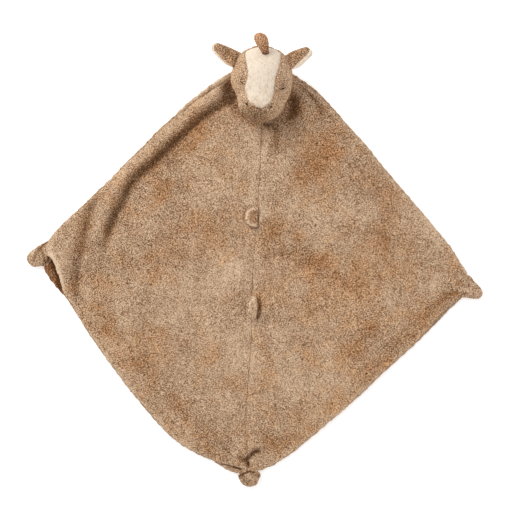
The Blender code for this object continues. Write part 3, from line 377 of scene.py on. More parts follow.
def loft(name, rings, ends=None, **looks):
    """A closed form through rings of points, with a point at each end: the middle of the end rings, or as given."""
    rings = np.asarray(rings)
    count, around = rings.shape[:2]
    ends = (rings[0].mean(axis=0), rings[-1].mean(axis=0)) if ends is None else ends
    faces = grid_faces(count, around, wrap=True) + cap(0, around, count * around)
    faces += cap((count - 1) * around, around, count * around + 1)
    return add_piece(name, np.vstack([rings.reshape(-1, 3), *ends]), faces, **looks)


def beside(points, line):
    """For points in plan: how far each lies from a line, on which side of it (left above zero), and how far along."""
    line = np.asarray(line, float)
    run = np.r_[0, np.cumsum(np.linalg.norm(np.diff(line, axis=0), axis=1))]
    fine = np.linspace(0, run[-1], 8 * len(line))
    path = np.column_stack([through(fine, np.column_stack([run, line[:, k]])) for k in (0, 1)])
    best = np.full(len(points), np.inf)
    side, share = np.zeros(len(points)), np.zeros(len(points))
    for k, (a, b) in enumerate(zip(path[:-1], path[1:])):
        way = b - a
        t = np.clip((points - a) @ way / (way @ way), 0, 1)
        gap = points - a - t[:, None] * way
        distance = np.linalg.norm(gap, axis=1)
        nearer = distance < best
        best = np.where(nearer, distance, best)
        side = np.where(nearer, np.sign(way[0] * gap[:, 1] - way[1] * gap[:, 0]), side)
        share = np.where(nearer, (k + t) / (len(path) - 1), share)
    return best, side, share


def fold_forms(plan):
    """Rise and painted shade of the front's folds at points in plan, in millimetres."""
    rise, dark = np.zeros(len(plan)), np.zeros(len(plan))
    for line, height, left, right, shade, fade in FOLDS:
        low, high = np.min(line, axis=0) - 32, np.max(line, axis=0) + 32
        near = np.all((plan > low) & (plan < high), axis=1)
        distance, side, share = beside(plan[near], line)
        width = np.where(side > 0, left, right)
        form = bell(distance / width) * smooth(share, 0, fade) * smooth(1 - share, 0, fade)
        rise[near] += height * form
        dark[near] += shade * form
    return rise, np.clip(dark, 0, 1)


def pile_lie(plan):
    """How light or dark the pile is brushed at points in plan, in millimetres, with the painted highlight and shade
    that the table holds.
    """
    drawn = plan + np.column_stack([swell(plan, 26, 31), swell(plan, 26, 32)]) * 4
    lie = np.zeros(len(plan))
    for x, y, half_length, half_width, degrees, amount in LIE:
        angle = math.radians(degrees)
        away = drawn - (x, y)
        along = (away[:, 0] * math.cos(angle) + away[:, 1] * math.sin(angle)) / half_length
        across = (away[:, 1] * math.cos(angle) - away[:, 0] * math.sin(angle)) / half_width
        lie += LIE_STRENGTH * amount * bell(along, across)
    return lie


def edge_line(name, at, insets=None):
    """Points of one blanket edge in plan, in millimetres."""
    start, end, bows = EDGES[name]
    a, b = np.array(CORNERS[start], float), np.array(CORNERS[end], float)
    way = unit(b - a)
    out = np.array([way[1], -way[0]])
    out = out if out @ (a + b) > 0 else -out
    bow = through(at, bows) - (through(at, insets[name]) if insets else 0)
    return a + at[:, None] * (b - a) + bow[:, None] * out


def in_plan(u, v, insets=None):
    """Points of the square blanket in plan, in millimetres: u runs from the top to the left corner, v to the
    right one."""
    a, b = u[:, None], v[:, None]
    top, left, right, bottom = (np.array(CORNERS[k], float) for k in ("top", "left", "right", "bottom"))
    return ((1 - b) * edge_line("upper_left", u, insets) + b * edge_line("lower_right", u, insets)
            + (1 - a) * edge_line("upper_right", v, insets) + a * edge_line("lower_left", v, insets)
            - (1 - a) * (1 - b) * top - a * (1 - b) * left - (1 - a) * b * right - a * b * bottom)


def uneven(plan, edge):
    """The plan with its outline a little ragged, as cut and turned plush has it."""
    fray = (swell(plan, 8, 41) * .34 + swell(plan, 3.4, 42) * .24) * smooth(6 - edge, 0, 5)
    return plan + fray[:, None] * unit(plan)


def with_seam(u, v, insets=None):
    """Points in plan, drawn aside so that the diagonal follows the centre seam."""
    flat = in_plan(u, v, insets)
    t = np.linspace(0, 1, 400)
    diagonal = in_plan(t, t, insets)[::-1]
    middle = np.interp(flat[:, 1], diagonal[:, 1], diagonal[:, 0])
    flat[:, 0] += (through(flat[:, 1], SEAM) - middle) * (1 - np.abs(u - v)) ** 6
    return flat


def rounded(distance, radius):
    """The rise of a turned edge: 0 at the edge, 1 from its radius inwards."""
    t = np.clip(distance / radius, 0, 1)
    return np.sqrt(np.clip(1 - (1 - t) ** 2, 0, 1))


# Head shapes


def head_depth(points):
    """Below zero inside the head, from its middle."""
    depths = []
    for place, half_sizes in MASSES:
        sizes = np.array(half_sizes) * MM
        depths.append((np.linalg.norm((points - np.array(place) * MM) / sizes, axis=-1) - 1) * sizes.min())
    share = np.clip(.5 + (depths[1] - depths[0]) / (2 * MASS_BLEND), 0, 1)
    return depths[1] * (1 - share) + depths[0] * share - MASS_BLEND * share * (1 - share)


def direction(turn, spread):
    """From the head's middle: the turn goes from the face up over the crown, the spread to the right."""
    turn, spread = np.broadcast_arrays(np.asarray(turn, float), np.asarray(spread, float))
    return np.stack([np.sin(spread), np.cos(spread) * np.sin(turn), np.cos(spread) * np.cos(turn)], axis=-1)


def head_surface(turn, spread):
    """The point of the head's surface in a direction, from the head's middle."""
    way = direction(turn, spread)
    start = np.zeros(way.shape[:-1])
    near = halving(start, start + .09, lambda reach: head_depth(way * reach[..., None]) <= 0, 26)[0]
    return way * near[..., None]


def lining(turn, spread):
    """The inside of the skin in a direction, from the head's middle."""
    point = head_surface(turn, spread)
    return point * (1 - SKIN / np.linalg.norm(point, axis=-1, keepdims=True))


def widest(turn, inside):
    """The last spread at each turn that is still inside a band."""
    return halving(np.zeros_like(turn), np.full_like(turn, math.pi / 2), lambda spread: inside(turn, spread), 24)[0]


def in_neck_opening(turn, spread):
    """Whether the inside of the skin in a direction lies over the neck's opening."""
    inner = lining(turn, spread)
    return (inner[..., 2] < 0) & (np.hypot(inner[..., 0], inner[..., 1] - NECK_PLACE) < NECK_OPENING_RADIUS)


def within(half_width):
    """A test for the band of directions inside a half width."""
    return lambda turn, spread: head_surface(turn, spread)[..., 0] < half_width


def blaze_half_width(turn, side=0):
    """How far the blaze reaches from the middle of the face; low down it lies a little to the left."""
    share = (CROWN_TURN - turn) / (CROWN_TURN - NOSE_TURN)
    near = np.clip(share, 0, 1)
    half = np.clip(through(near, BLAZE), 0, None)
    drift = through(near, BLAZE_DRIFT) * smooth(half, 0, 9)
    return (half + side * drift) * MM * (share <= 1)


def neck_turns():
    """The turns at which the neck opening begins, under the chin, and ends, at the back of the head."""
    way = np.array([-1, 1])
    reach = halving(np.zeros(2), np.full(2, math.pi / 2),
                    lambda angle: in_neck_opening(math.pi + way * angle, np.zeros(2)), 30)[0]
    ends = math.pi + way * reach - 2 * math.pi
    return ends.max(), ends.min()


# Where the face is drawn in, from the head's middle in plan: place, depth and radius, in millimetres
DENTS = (((-21.3, -1.5), 1.6, 4.4), ((23.1, -6), 1.5, 4.2), ((-15.4, -25), 1.3, 3), ((11, -27.1), 1.2, 3),
         ((-27, -13), 1.4, 6), ((-4, -39), .9, 5), ((-17, -36), .9, 4))
# Where the cheeks and the jaw stand out at the head's widest, in the same way
CHEEKS = (((28, -13), 2.8, 9), ((-31, 2), 1.0, 9), ((-22, -30), .8, 7))
CHEEK_HEIGHT = 13 * MM
# How far to each side of a seam the skin is drawn in
SEAM_REACH = 2.2 * MM


def skin_points(turn, spread, edge_distance, seam_depth):
    """Points of the head's skin: full between the seams, drawn in at them, dented at the eyes and nostrils."""
    point = head_surface(turn, spread)
    way = unit(point)
    flat = point.reshape(-1, 3)
    lift = (swell(flat, .021, 11) * .35 + swell(flat, .009, 12) * .12).reshape(turn.shape) * MM
    lift = lift - seam_depth * bell(edge_distance / SEAM_REACH)
    for (x, y), depth, radius in DENTS:
        away = np.hypot(point[..., 0] - x * MM, point[..., 1] - y * MM)
        lift = lift - depth * MM * bell(away / (radius * MM)) * (point[..., 2] > 0)
    for (x, y), fullness, radius in CHEEKS:
        away = np.hypot(point[..., 0] - x * MM, point[..., 1] - y * MM)
        lift = lift + fullness * MM * bell(away / (radius * MM), point[..., 2] / CHEEK_HEIGHT)
    return point + way * lift[..., None]


def face_place(x, y):
    """A point of the face over a place in plan, and the way out of it there."""
    height = halving(0.0, .06, lambda z: head_depth(np.array([x, y, z])) <= 0, 30)[0]
    point = np.array([x, y, height])
    slope = [head_depth(point + axis * 1e-5) - head_depth(point - axis * 1e-5) for axis in np.eye(3)]
    return point, unit(slope)


# Shader values


class Value:
    """A number in a node tree. Python's own arithmetic on it adds Math nodes."""

    def __init__(self, nodes, socket):
        self.nodes, self.socket = nodes, socket

    def math(self, operation, *others):
        return self.nodes.math(operation, self, *others)

    def __add__(self, other):
        return self.math("ADD", other)

    def __sub__(self, other):
        return self.math("SUBTRACT", other)

    def __rsub__(self, other):
        return self.nodes.math("SUBTRACT", other, self)

    def __mul__(self, other):
        return self.math("MULTIPLY", other)

    def __truediv__(self, other):
        return self.math("DIVIDE", other)

    def __rtruediv__(self, other):
        return self.nodes.math("DIVIDE", other, self)

    def __pow__(self, other):
        return self.math("POWER", other)

    __radd__, __rmul__ = __add__, __mul__

    def clamped(self):
        return self.nodes.value("ShaderNodeClamp", {}, [self])

    def bump_at(self, centre, width):
        """1 where the value is at the centre, falling to 0 within a few widths."""
        return (((self - centre) / width) ** 2 * -1).math("EXPONENT")


class Nodes:
    """Adds the nodes of one tree."""

    def add(self, kind, settings=None, inputs=None):
        """One node: its settings first, then the values or links of its sockets, by place or by name."""
        node = self.tree.nodes.new(kind)
        for key, value in (settings or {}).items():
            if key == "stops":
                for _ in value[2:]:
                    node.color_ramp.elements.new(0.5)
                for element, (place, colour) in zip(node.color_ramp.elements, value):
                    element.position, element.color = place, (*colour, 1)
            else:
                setattr(node, key, value)
        for key, value in inputs.items() if isinstance(inputs, dict) else enumerate(inputs or []):
            socket = value.socket if isinstance(value, Value) else value
            if isinstance(socket, bpy.types.NodeSocket):
                self.tree.links.new(socket, node.inputs[key])
            else:
                node.inputs[key].default_value = value
        return node

    def value(self, kind, settings=None, inputs=None, output=0):
        """The number that a new node gives."""
        return Value(self, self.add(kind, settings, inputs).outputs[output])

    def math(self, operation, *inputs):
        return self.value("ShaderNodeMath", {"operation": operation}, inputs)


class Recipe(Nodes):
    """The nodes of one material."""

    def __init__(self, name):
        self.material = bpy.data.materials.new(name)
        self.material.use_nodes = True
        self.tree = self.material.node_tree
        self.tree.nodes.clear()
        self.output = self.add("ShaderNodeOutputMaterial")
        self.coordinates = self.add("ShaderNodeTexCoord").outputs["Object"]

    def noise(self, scale, detail=2.0, distortion=0.0, stretch=None):
        """Soft noise, drawn out along a turn where a stretch is given."""
        where = self.coordinates
        if stretch:
            where = self.add("ShaderNodeMapping", {}, {"Vector": where, "Rotation": (0, 0, stretch[0]),
                                                       "Scale": (1, stretch[1], 1)}).outputs[0]
        return self.value("ShaderNodeTexNoise", {}, {"Vector": where, "Scale": scale, "Detail": detail,
                                                     "Distortion": distortion})

    def cells(self, size, drift):
        """Distance from the nearest of many points strewn a size apart."""
        waver = self.add("ShaderNodeTexNoise", {}, {"Vector": self.coordinates, "Scale": .5 / size, "Detail": 1.0})
        moved = self.add("ShaderNodeVectorMath", {"operation": "MULTIPLY_ADD"},
                         [waver.outputs["Color"], (drift, drift, drift), self.coordinates])
        return self.value("ShaderNodeTexVoronoi", {}, {"Vector": moved.outputs[0], "Scale": 1 / size,
                                                       "Randomness": .75}, "Distance")

    def attribute(self, name):
        return self.value("ShaderNodeAttribute", {"attribute_name": name}, output="Fac")

    def mix(self, share, first, second, how="MIX"):
        return self.add("ShaderNodeMix", {"data_type": "RGBA", "blend_type": how, "clamp_factor": True},
                        {0: share, 6: first, 7: second}).outputs[2]

    def ramp(self, share, stops):
        return self.add("ShaderNodeValToRGB", {"stops": stops}, [share]).outputs[0]

    def bump(self, height, distance, strength=1.0, **normal):
        return self.add("ShaderNodeBump", {}, {"Height": height, "Distance": distance, "Strength": strength,
                                               **normal}).outputs[0]

    def surface(self, colour, roughness, **others):
        """Links the material's one shader; the other sockets go by name, with _ for a space."""
        node = self.add("ShaderNodeBsdfPrincipled", {}, {
            "Base Color": colour, "Roughness": roughness,
            **{title.replace("_", " "): value for title, value in others.items()}})
        self.tree.links.new(node.outputs[0], self.output.inputs["Surface"])
        return self.material

    def cloth(self, colour, roughness, normal, sheen=0.0, sheen_tint=(1, 1, 1, 1)):
        """Matt cloth with a soft sheen."""
        return self.surface(colour, roughness, Normal=normal, Sheen_Weight=sheen, Sheen_Roughness=.6,
                            Sheen_Tint=sheen_tint, Specular_IOR_Level=.12)


def toned(colour, *shares):
    """A colour with each of its red, green and blue times a share."""
    return tuple(min(c * s, 1.0) for c, s in zip(colour, shares))


def plush_material(name, colour, curl, contrast=1.0, seam_light=0.0, patches=1.0, speckle=0.0):
    """Curly plush: light tips over warm dark roots, brushed patches, and painted shade in the folds and creases."""
    recipe = Recipe(name)
    pile, fold, lie = (recipe.attribute(title) for title in ("pile", "fold", "lie"))
    x = recipe.value("ShaderNodeSeparateXYZ", {}, [recipe.coordinates])
    wide = recipe.noise(1 / .070, 2, .6, (math.radians(35), .55))
    brushed = recipe.noise(1 / .022, 2, 1.0, (math.radians(-30), .5))
    loops = recipe.cells(curl * .56, curl * .45)
    strands = recipe.noise(1 / (curl * .58), 1, .3)
    fibres = recipe.noise(1 / (curl * .30), 1)
    # How light the pile is: its fine grain, two sizes of brushed patches, the painted shade of the creases and the
    # lie with its painted light and shade
    grain = ((.50 - loops) * 1.2 + (strands - .5) * 2.8 + (fibres - .5) * 2.8 + (pile - .42) * .05) * contrast
    if speckle:
        grain = grain * (1 + fold.clamped() * speckle)
    level = (.535 + grain + (wide - .5) * (.38 * patches) + (brushed - .5) * (.52 * patches) - fold * .30
             + lie * (.55 + (brushed - .5) * 2.0))
    # Where the pile shows its warm roots, with painted warm shade in the folds
    warm = ((recipe.noise(1 / .040, 3, .8) - .5) * 2.0 + (recipe.noise(1 / .013, 2, .5) - .5) * 1.4 - lie * 1.3
            + fold * .7)
    if seam_light:
        level = level + x.bump_at(0.001, .011) * seam_light
        warm = warm + ((x + .02) / .08).clamped() * .15
    level = level.clamped()
    shade = recipe.ramp(level, [
        (0.0, toned(colour, .20, .11, .055)), (.24, toned(colour, .53, .40, .26)), (.52, colour),
        (.76, toned(colour, 1.33, 1.42, 1.54)), (1.0, toned(colour, 1.65, 1.9, 2.2))])
    tinted = recipe.mix(1.0, shade, (1.03, .79, .54, 1), "MULTIPLY")
    shade = recipe.mix(((warm + .06) * (.85 * patches)).clamped(), shade, tinted)
    # Painted shade: almost black in the deepest creases
    deep = fold.clamped() ** 1.2 * .86 * (1.62 - level * (1 + speckle * .25))
    shade = recipe.mix(deep.clamped(), shade, (*toned(colour, .16, .105, .07), 1))
    coarse = recipe.bump(pile * .4 - loops * .6, curl * .22, .7)
    normal = recipe.bump(strands + fibres * .6, curl * .20, .8, Normal=coarse)
    return recipe.cloth(shade, .86 + (strands - .5) * .12, normal, .12, (*toned(colour, 1.3, 1.2, 1.1), 1))


def short_pile_material(name, colour, curl, streak_turn):
    """Brushed cream pile: fine streaks that lie one way, over soft warm shadows."""
    recipe = Recipe(name)
    pile, fold = recipe.attribute("pile"), recipe.attribute("fold")
    streaks = recipe.noise(1 / (curl * 1.1), 3, .5, (streak_turn, .42))
    specks = recipe.noise(1 / (curl * .4), 2)
    clouds = recipe.noise(1 / .014, 2, .5)
    level = (.60 + (streaks - .5) * .75 + (specks - .5) * (fold.clamped() * 2.0 + .8) + (clouds - .5) * .35
             + (pile - .42) * .22 - fold * .8)
    shade = recipe.ramp(level.clamped(), [(0, toned(colour, .34, .26, .20)), (.25, toned(colour, .70, .62, .54)),
                                          (.55, colour), (.9, toned(colour, 1.1, 1.13, 1.16))])
    coarse = recipe.bump(pile, curl * .25, .5)
    normal = recipe.bump(streaks + specks * .5, curl * .2, .6, Normal=coarse)
    return recipe.cloth(shade, .8 + (specks - .5) * .1, normal, .25, (1, .95, .88, 1))


def thread_material(name, colour):
    """Twisted embroidery thread: painted highlights as fine light lines along its strands."""
    recipe = Recipe(name)
    strands = recipe.noise(1 / .0005, 2, .2, (math.radians(20), .25))
    worn = recipe.noise(1 / .002, 2)
    shade = recipe.ramp((strands * .7 + worn * .3).clamped(),
                        [(.3, tuple(c * .5 for c in colour)), (.55, colour), (.8, tuple(c * 2.2 for c in colour))])
    return recipe.cloth(shade, .6 + worn * .2, recipe.bump(strands, .0002, .8))


def fibre_material(name, colour):
    """Loose polyester filling."""
    recipe = Recipe(name)
    wisps = recipe.noise(1 / .003, 4, 1.5, (0, .3))
    shade = recipe.ramp(wisps.clamped(), [(.3, toned(colour, .6, .6, .6)), (.7, colour)])
    return recipe.cloth(shade, .7 + wisps * .2, recipe.bump(wisps, .0006, .8), .3)


def floor_material(name):
    """Plain white studio paper."""
    recipe = Recipe(name)
    shade = recipe.ramp(recipe.noise(60).clamped(), [(.3, (.9, .9, .9)), (.7, (.93, .93, .93))])
    return recipe.surface(shade, .9, Specular_IOR_Level=0, Emission_Color=(1, 1, 1, 1), Emission_Strength=.40)


# Geometry Nodes


class Tree(Nodes):
    """One geometry node tree, with its named inputs."""

    def __init__(self, name, inputs):
        self.tree = bpy.data.node_groups.new(name, "GeometryNodeTree")
        self.tree.is_modifier = True
        for title, kind in (("Geometry", "Geometry"), *inputs.items()):
            self.tree.interface.new_socket(title, in_out="INPUT", socket_type="NodeSocket" + kind)
        self.tree.interface.new_socket("Geometry", in_out="OUTPUT", socket_type="NodeSocketGeometry")
        self.given = self.tree.nodes.new("NodeGroupInput").outputs
        self.result = self.tree.nodes.new("NodeGroupOutput").inputs[0]

    def scaled(self, vector, size):
        return self.add("ShaderNodeVectorMath", {"operation": "SCALE"}, {0: vector, "Scale": size}).outputs[0]

    def finish(self, geometry, material):
        real = self.add("GeometryNodeRealizeInstances", {}, [geometry]).outputs[0]
        set_material = self.add("GeometryNodeSetMaterial", {}, {"Geometry": real, "Material": material})
        self.tree.links.new(set_material.outputs[0], self.result)
        return self.tree


def pile_tree():
    """Raises the pile of a plush surface: round curls in warped cells, on soft lumps, where the nap allows it."""
    tree = Tree("Plush pile", {"Curl Size": "Float", "Curl Height": "Float", "Lump Size": "Float",
                               "Lump Height": "Float", "Seed": "Int", "Plush": "Material"})
    given = tree.given
    curl_size, curl_height, lump_size, lump_height = (
        Value(tree, given[title]) for title in ("Curl Size", "Curl Height", "Lump Size", "Lump Height"))
    place = tree.add("GeometryNodeInputPosition").outputs[0]

    def noise(scale, detail):
        return tree.add("ShaderNodeTexNoise", {"noise_dimensions": "4D"},
                        {"Vector": place, "W": given["Seed"], "Scale": scale, "Detail": detail}).outputs

    drift = tree.add("ShaderNodeVectorMath", {"operation": "SUBTRACT"},
                     [noise(.45 / curl_size, 1.0)[1], (.5, .5, .5)])
    warped = tree.add("ShaderNodeVectorMath", {"operation": "ADD"},
                      [place, tree.scaled(drift.outputs[0], curl_size * 1.5)])
    cells = tree.value("ShaderNodeTexVoronoi", {"voronoi_dimensions": "4D", "feature": "SMOOTH_F1"},
                       {"Vector": warped.outputs[0], "W": given["Seed"], "Scale": 1.0 / curl_size, "Smoothness": .25})
    curl = (1.0 - cells * 1.25).clamped()
    lump = Value(tree, noise(1.0 / lump_size, 3.0)[0])
    nap = tree.value("GeometryNodeInputNamedAttribute", {"data_type": "FLOAT"}, {"Name": "nap"})
    rise = ((curl - .45) * curl_height + (lump - .5) * lump_height) * nap
    offset = tree.scaled(tree.add("GeometryNodeInputNormal").outputs[0], rise)
    raised = tree.add("GeometryNodeSetPosition", {}, {"Geometry": given["Geometry"], "Offset": offset})
    kept = tree.add("GeometryNodeStoreNamedAttribute", {"data_type": "FLOAT", "domain": "POINT"},
                    {"Geometry": raised.outputs[0], "Name": "pile", "Value": curl})
    return tree.finish(kept.outputs[0], given["Plush"])


def stitch_tree():
    """Lays stitches across a line at an even pitch."""
    tree = Tree("Seam stitches", {"Pitch": "Float", "Length": "Float", "Thickness": "Float", "Slant": "Float",
                                  "Thread": "Material"})
    given = tree.given
    points = tree.add("GeometryNodeCurveToPoints", {"mode": "LENGTH"},
                      {"Curve": given["Geometry"], "Length": given["Pitch"]}).outputs
    ball = tree.add("GeometryNodeMeshUVSphere", {}, {"Segments": 6, "Rings": 5, "Radius": .5}).outputs[0]
    size = tree.add("ShaderNodeCombineXYZ", {}, [given["Length"], given["Thickness"], given["Thickness"]]).outputs[0]
    slant = tree.add("ShaderNodeCombineXYZ", {}, {2: given["Slant"]}).outputs[0]
    turned = tree.add("FunctionNodeRotateRotation", {"rotation_space": "LOCAL"}, [points["Rotation"], slant])
    laid = tree.add("GeometryNodeInstanceOnPoints", {},
                    {"Points": points["Points"], "Instance": ball, "Rotation": turned.outputs[0], "Scale": size})
    return tree.finish(laid.outputs[0], given["Thread"])


def worked(piece, tree, values):
    """The piece with a geometry node tree's result as its plain mesh."""
    modifier = piece.modifiers.new(tree.name, "NODES")
    modifier.node_group = tree
    names = {item.name: item.identifier for item in tree.interface.items_tree
             if item.item_type == "SOCKET" and item.in_out == "INPUT"}
    for title, value in values.items():
        modifier[names[title]] = value
    graph = bpy.context.evaluated_depsgraph_get()
    mesh = bpy.data.meshes.new_from_object(piece.evaluated_get(graph), depsgraph=graph)
    piece.modifiers.remove(modifier)
    if piece.type == "MESH":
        piece.data = mesh
        return piece
    made = add_object(piece.name + "_worked", mesh)
    bpy.data.objects.remove(piece)
    return made


def tree_named(name, maker):
    return bpy.data.node_groups.get(name) or maker()


def material_named(name, maker, *settings, **more):
    return bpy.data.materials.get(name) or maker(name, *settings, **more)


def tan_cloth(scene):
    return material_named("tan_plush_cloth", plush_material, scene.lovey_colours.tan[:],
                          scene.lovey_cloth.curl_size, seam_light=.05)


# A copy of the tan 9% lighter: painted light on the head and the pieces that share its plush
def tan_small(scene):
    return material_named("tan_plush_head", plush_material, toned(scene.lovey_colours.tan, 1.09, 1.09, 1.09),
                          scene.lovey_head.curl_size, contrast=.95, patches=.6, speckle=1.5)


def cream_pile(scene):
    return material_named("cream_pile", short_pile_material, scene.lovey_colours.cream[:],
                          scene.lovey_head.curl_size, math.radians(78))


# The lumps of the head's plush, as shares of the cloth's size and height
HEAD_LUMPS = (.6, .35)


def raise_pile(piece, scene, sizes, material, height=1.0):
    """Gives a plush piece its pile and its material. Height is a share of how far the curls stand up."""
    cloth = scene.lovey_cloth
    lump_size, lump_height = (1, 1) if sizes == cloth else HEAD_LUMPS
    return worked(piece, tree_named("Plush pile", pile_tree), {
        "Curl Size": sizes.curl_size, "Curl Height": sizes.curl_height * height,
        "Lump Size": cloth.lump_size * lump_size, "Lump Height": cloth.lump_height * lump_height,
        "Seed": cloth.seed, "Plush": material})


# Pieces of the blanket


# The blanket's layers, in millimetres above the floor; the back's fullness is what its top gains inwards of the edge
FRONT_TOP, FRONT_EDGE, FRONT_LOWEST, FRONT_UNDERSIDE = 7.1, 5.0, 4.7, 3.75
BACK_TOP, BACK_FULLNESS, BACK_MIDDLE, BACK_UNDERSIDE = 1.9, 1.45, 1.5, .25
# Steps along a side: the front's top, its plain underside, and the back
FRONT_STEPS, UNDERSIDE_STEPS, BACK_STEPS = 380, 95, 200
# The front's underside stops 1.6 mm short over a side of about 320 mm
UNDERSIDE_SHARE = 1 - 1.6 / 320


def corner_pocket(from_lower, along_upper):
    """1 where the front stands open at the left corner, and 0 away from there."""
    return bell(from_lower / 13) * smooth(along_upper, 0, .025) * smooth(.16 - along_upper, 0, .06)


def front_panel(scene, side):
    """One half of the front: a dense top with its folds, turned edges and seam, on a plain underside."""
    cloth, left = scene.lovey_cloth, side < 0
    upper, lower = (EDGE_LENGTHS[f"{edge}_{HAND[side]}"] for edge in ("upper", "lower"))

    def placed(u, v):
        return with_seam(*((u, v) if left else (v, u)), FRONT_INSETS)

    (u, v), faces, loop = half_square(FRONT_STEPS)
    plan = placed(u, v)
    from_seam = np.abs(plan[:, 0] - through(plan[:, 1], SEAM))
    edge = np.minimum(v * lower, (1 - u) * upper)
    plan = uneven(plan, edge)
    rise, dark = fold_forms(plan)
    calm = smooth(edge, 1, 9)
    pocket = left * corner_pocket((1 - u) * upper, v)
    soft = swell(plan, 46, 5) * .7 + swell(plan, 19, 6) * .35
    height = (FRONT_TOP + rise * cloth.fold_share * calm + soft * calm + pocket * 3.6
              + .9 * bell(from_seam / 16) * rounded(from_seam, 5) - .15 * bell(from_seam / 1.2))
    # Painted shade where the seam stands open, and a painted highlight along the turned rim, taken off the shade
    seam_gap_shade = .5 * bell((plan[:, 1] + 26) / 12) * smooth(plan[:, 1], 150, 90)
    rim_highlight = (.45 + .55 * pocket) * bell((edge - 1.6 - pocket) / (1.9 + pocket))
    dark = np.clip(dark + seam_gap_shade * bell(from_seam / .8) - rim_highlight, -1, 1)
    foot = FRONT_EDGE + pocket * 3.4
    z = np.maximum(foot + (height - foot) * rounded(edge, cloth.turned_edge / MM), FRONT_LOWEST)
    top = np.column_stack([plan, z])
    nap = .35 + .65 * smooth(np.minimum(edge, from_seam * 2), 0, 3)
    # Painted highlight along the raised rim of the left corner's pocket
    lie = pile_lie(plan) + .6 * pocket * bell((edge - 2.4) / 2.6)

    (u, v), under_faces, under_loop = half_square(UNDERSIDE_STEPS, len(top))
    under_plan = placed(*(middle + (place - middle) * UNDERSIDE_SHARE for place, middle in ((u, 2 / 3), (v, 1 / 3))))
    under = np.column_stack([under_plan, FRONT_UNDERSIDE + 3.2 * left * corner_pocket((1 - u) * upper, v)])
    piece = add_piece(f"front_{HAND[side]}_plush", np.vstack([top, under]) * MM,
                      faces + under_faces + sew(loop, under_loop, len(top)), nap, dark, lie)
    raise_pile(piece, scene, cloth, tan_cloth(scene))
    declare(piece, "front_panel_" + HAND[side], "blanket")


def back_sheet(scene):
    """The back, a whole square, fuller at its rim where the front leaves it bare."""
    cloth, rows = scene.lovey_cloth, BACK_STEPS + 1
    t = np.linspace(0, 1, rows)
    t = t - .5 * np.sin(2 * math.pi * t) / (2 * math.pi)
    u, v = (g.ravel() for g in np.meshgrid(t, t, indexing="ij"))
    plan = in_plan(u, v)
    across, down = EDGE_LENGTHS["lower_left"], EDGE_LENGTHS["upper_left"]
    gaps = {"upper_left": (v * across, u), "lower_right": ((1 - v) * across, u),
            "upper_right": (u * down, v), "lower_left": ((1 - u) * down, v)}
    edge = np.min([g[0] for g in gaps.values()], axis=0)
    puff, shade_under_front_rim, brushed = np.zeros((3, len(u)))
    for name, (distance, share) in gaps.items():
        inset = through(share, FRONT_INSETS[name])
        opening = np.clip(inset / 5, 0, 1) * smooth(1.5 * inset + 3 - distance, 0, 3)
        # Painted shade on the back just under the front's edge
        shade_under_front_rim += smooth(distance / np.maximum(inset, 1), .6, 1) * opening
        # Lighter over the bare rim, and darker and warmer in the left corner's pocket, painted shade under the raised
        # front
        brushed += opening * (.5 - (1.2 * (share < .5) + .3 if name == "lower_left" else 0))
        puff += np.clip(inset / 5, 0, 1) * bell(distance / (inset * .5 + 1.5))
    plan = uneven(plan, edge)
    round_edge = rounded(edge, 3.0)
    soft = swell(plan, 30, 8) * .25 * smooth(edge, 1, 8)
    top = BACK_TOP + (BACK_FULLNESS + puff * 2.2) * round_edge + np.clip(soft, -.3, .0)
    bottom = BACK_MIDDLE - (BACK_MIDDLE - BACK_UNDERSIDE) * round_edge
    outer, inner = (np.column_stack([plan, z]).reshape(rows, rows, 3) * MM for z in (bottom, top))
    # Painted shadow in the open gap at the left corner
    corner_gap_shadow = bell((plan[:, 0] + 227.5) / 5.5, (plan[:, 1] + 4.5) / 4)
    plain = np.zeros(rows * rows)
    piece = layered_grid(
        "back_sheet_plush", outer, inner,
        nap=np.concatenate([plain + .25, np.clip(puff, 0, .8) * smooth(edge, 0, 2) + .1]),
        fold=np.concatenate([plain, np.clip(shade_under_front_rim * .8 + corner_gap_shadow, 0, 1)]), lie=np.concatenate([plain, brushed]))
    raise_pile(piece, scene, cloth, material_named(
        "tan_plush_back", plush_material, toned(scene.lovey_colours.tan, .94, .94, .94), cloth.curl_size,
        patches=.8), .6)
    declare(piece, "back_panel", "blanket")


# Each nub: its hinge, the way it points, and stations of distance from the hinge, half width on its left and on
# its right, half height, and height of its middle
NUBS = {
    "knot_left": ((-233.093, -.737), 199, (
        (-12, 4, 14.2, 1.4, 3.9), (-6, 9, 12.7, 2.2, 4.0), (0, 12.2, 10.9, 3.6, 4.4), (4.5, 12.2, 9.8, 5.2, 5.7),
        (9.1, 11.4, 8.6, 6.3, 6.7), (13.5, 9.6, 6.9, 5.9, 6.5), (16.8, 6.2, 4.4, 4.2, 6.2), (18.4, 2.6, 1.8, 1.9, 6),
        (18.9, 0, 0, 0, 6))),
    "knot_right": ((232.886, -17.725), -27, (
        (-18, 7, 6, .8, 5.3), (-11, 12, 9, 1.6, 5.6), (-4, 12, 11.6, 2.9, 5.0), (0, 10.9, 12.6, 3.7, 4.6),
        (4.5, 9.9, 11.6, 4.4, 5.0), (8.8, 8.8, 9.8, 5.2, 5.8), (13.5, 6.9, 8.2, 5.2, 5.9),
        (17, 4.9, 6.4, 4.2, 5.8), (19.8, 2.6, 3.6, 2.4, 5.7), (21, 0, 0, 0, 5.6))),
    "knot_bottom": ((3, -232.8), -90, (
        (-7, 0, 0, 0, 7.4), (-6.4, 4.6, 4.4, 2.1, 7.4), (-4, 8.6, 8.6, 4.0, 7.2), (0, 10.8, 10.9, 5.7, 7.0),
        (4, 11.4, 11.5, 6.4, 7.0), (8, 10.5, 10.4, 6.2, 6.8), (11, 8.5, 8.2, 5.2, 6.6), (13.4, 5.2, 4.8, 3.3, 6.4),
        (14.6, 0, 0, 0, 6.4))),
}
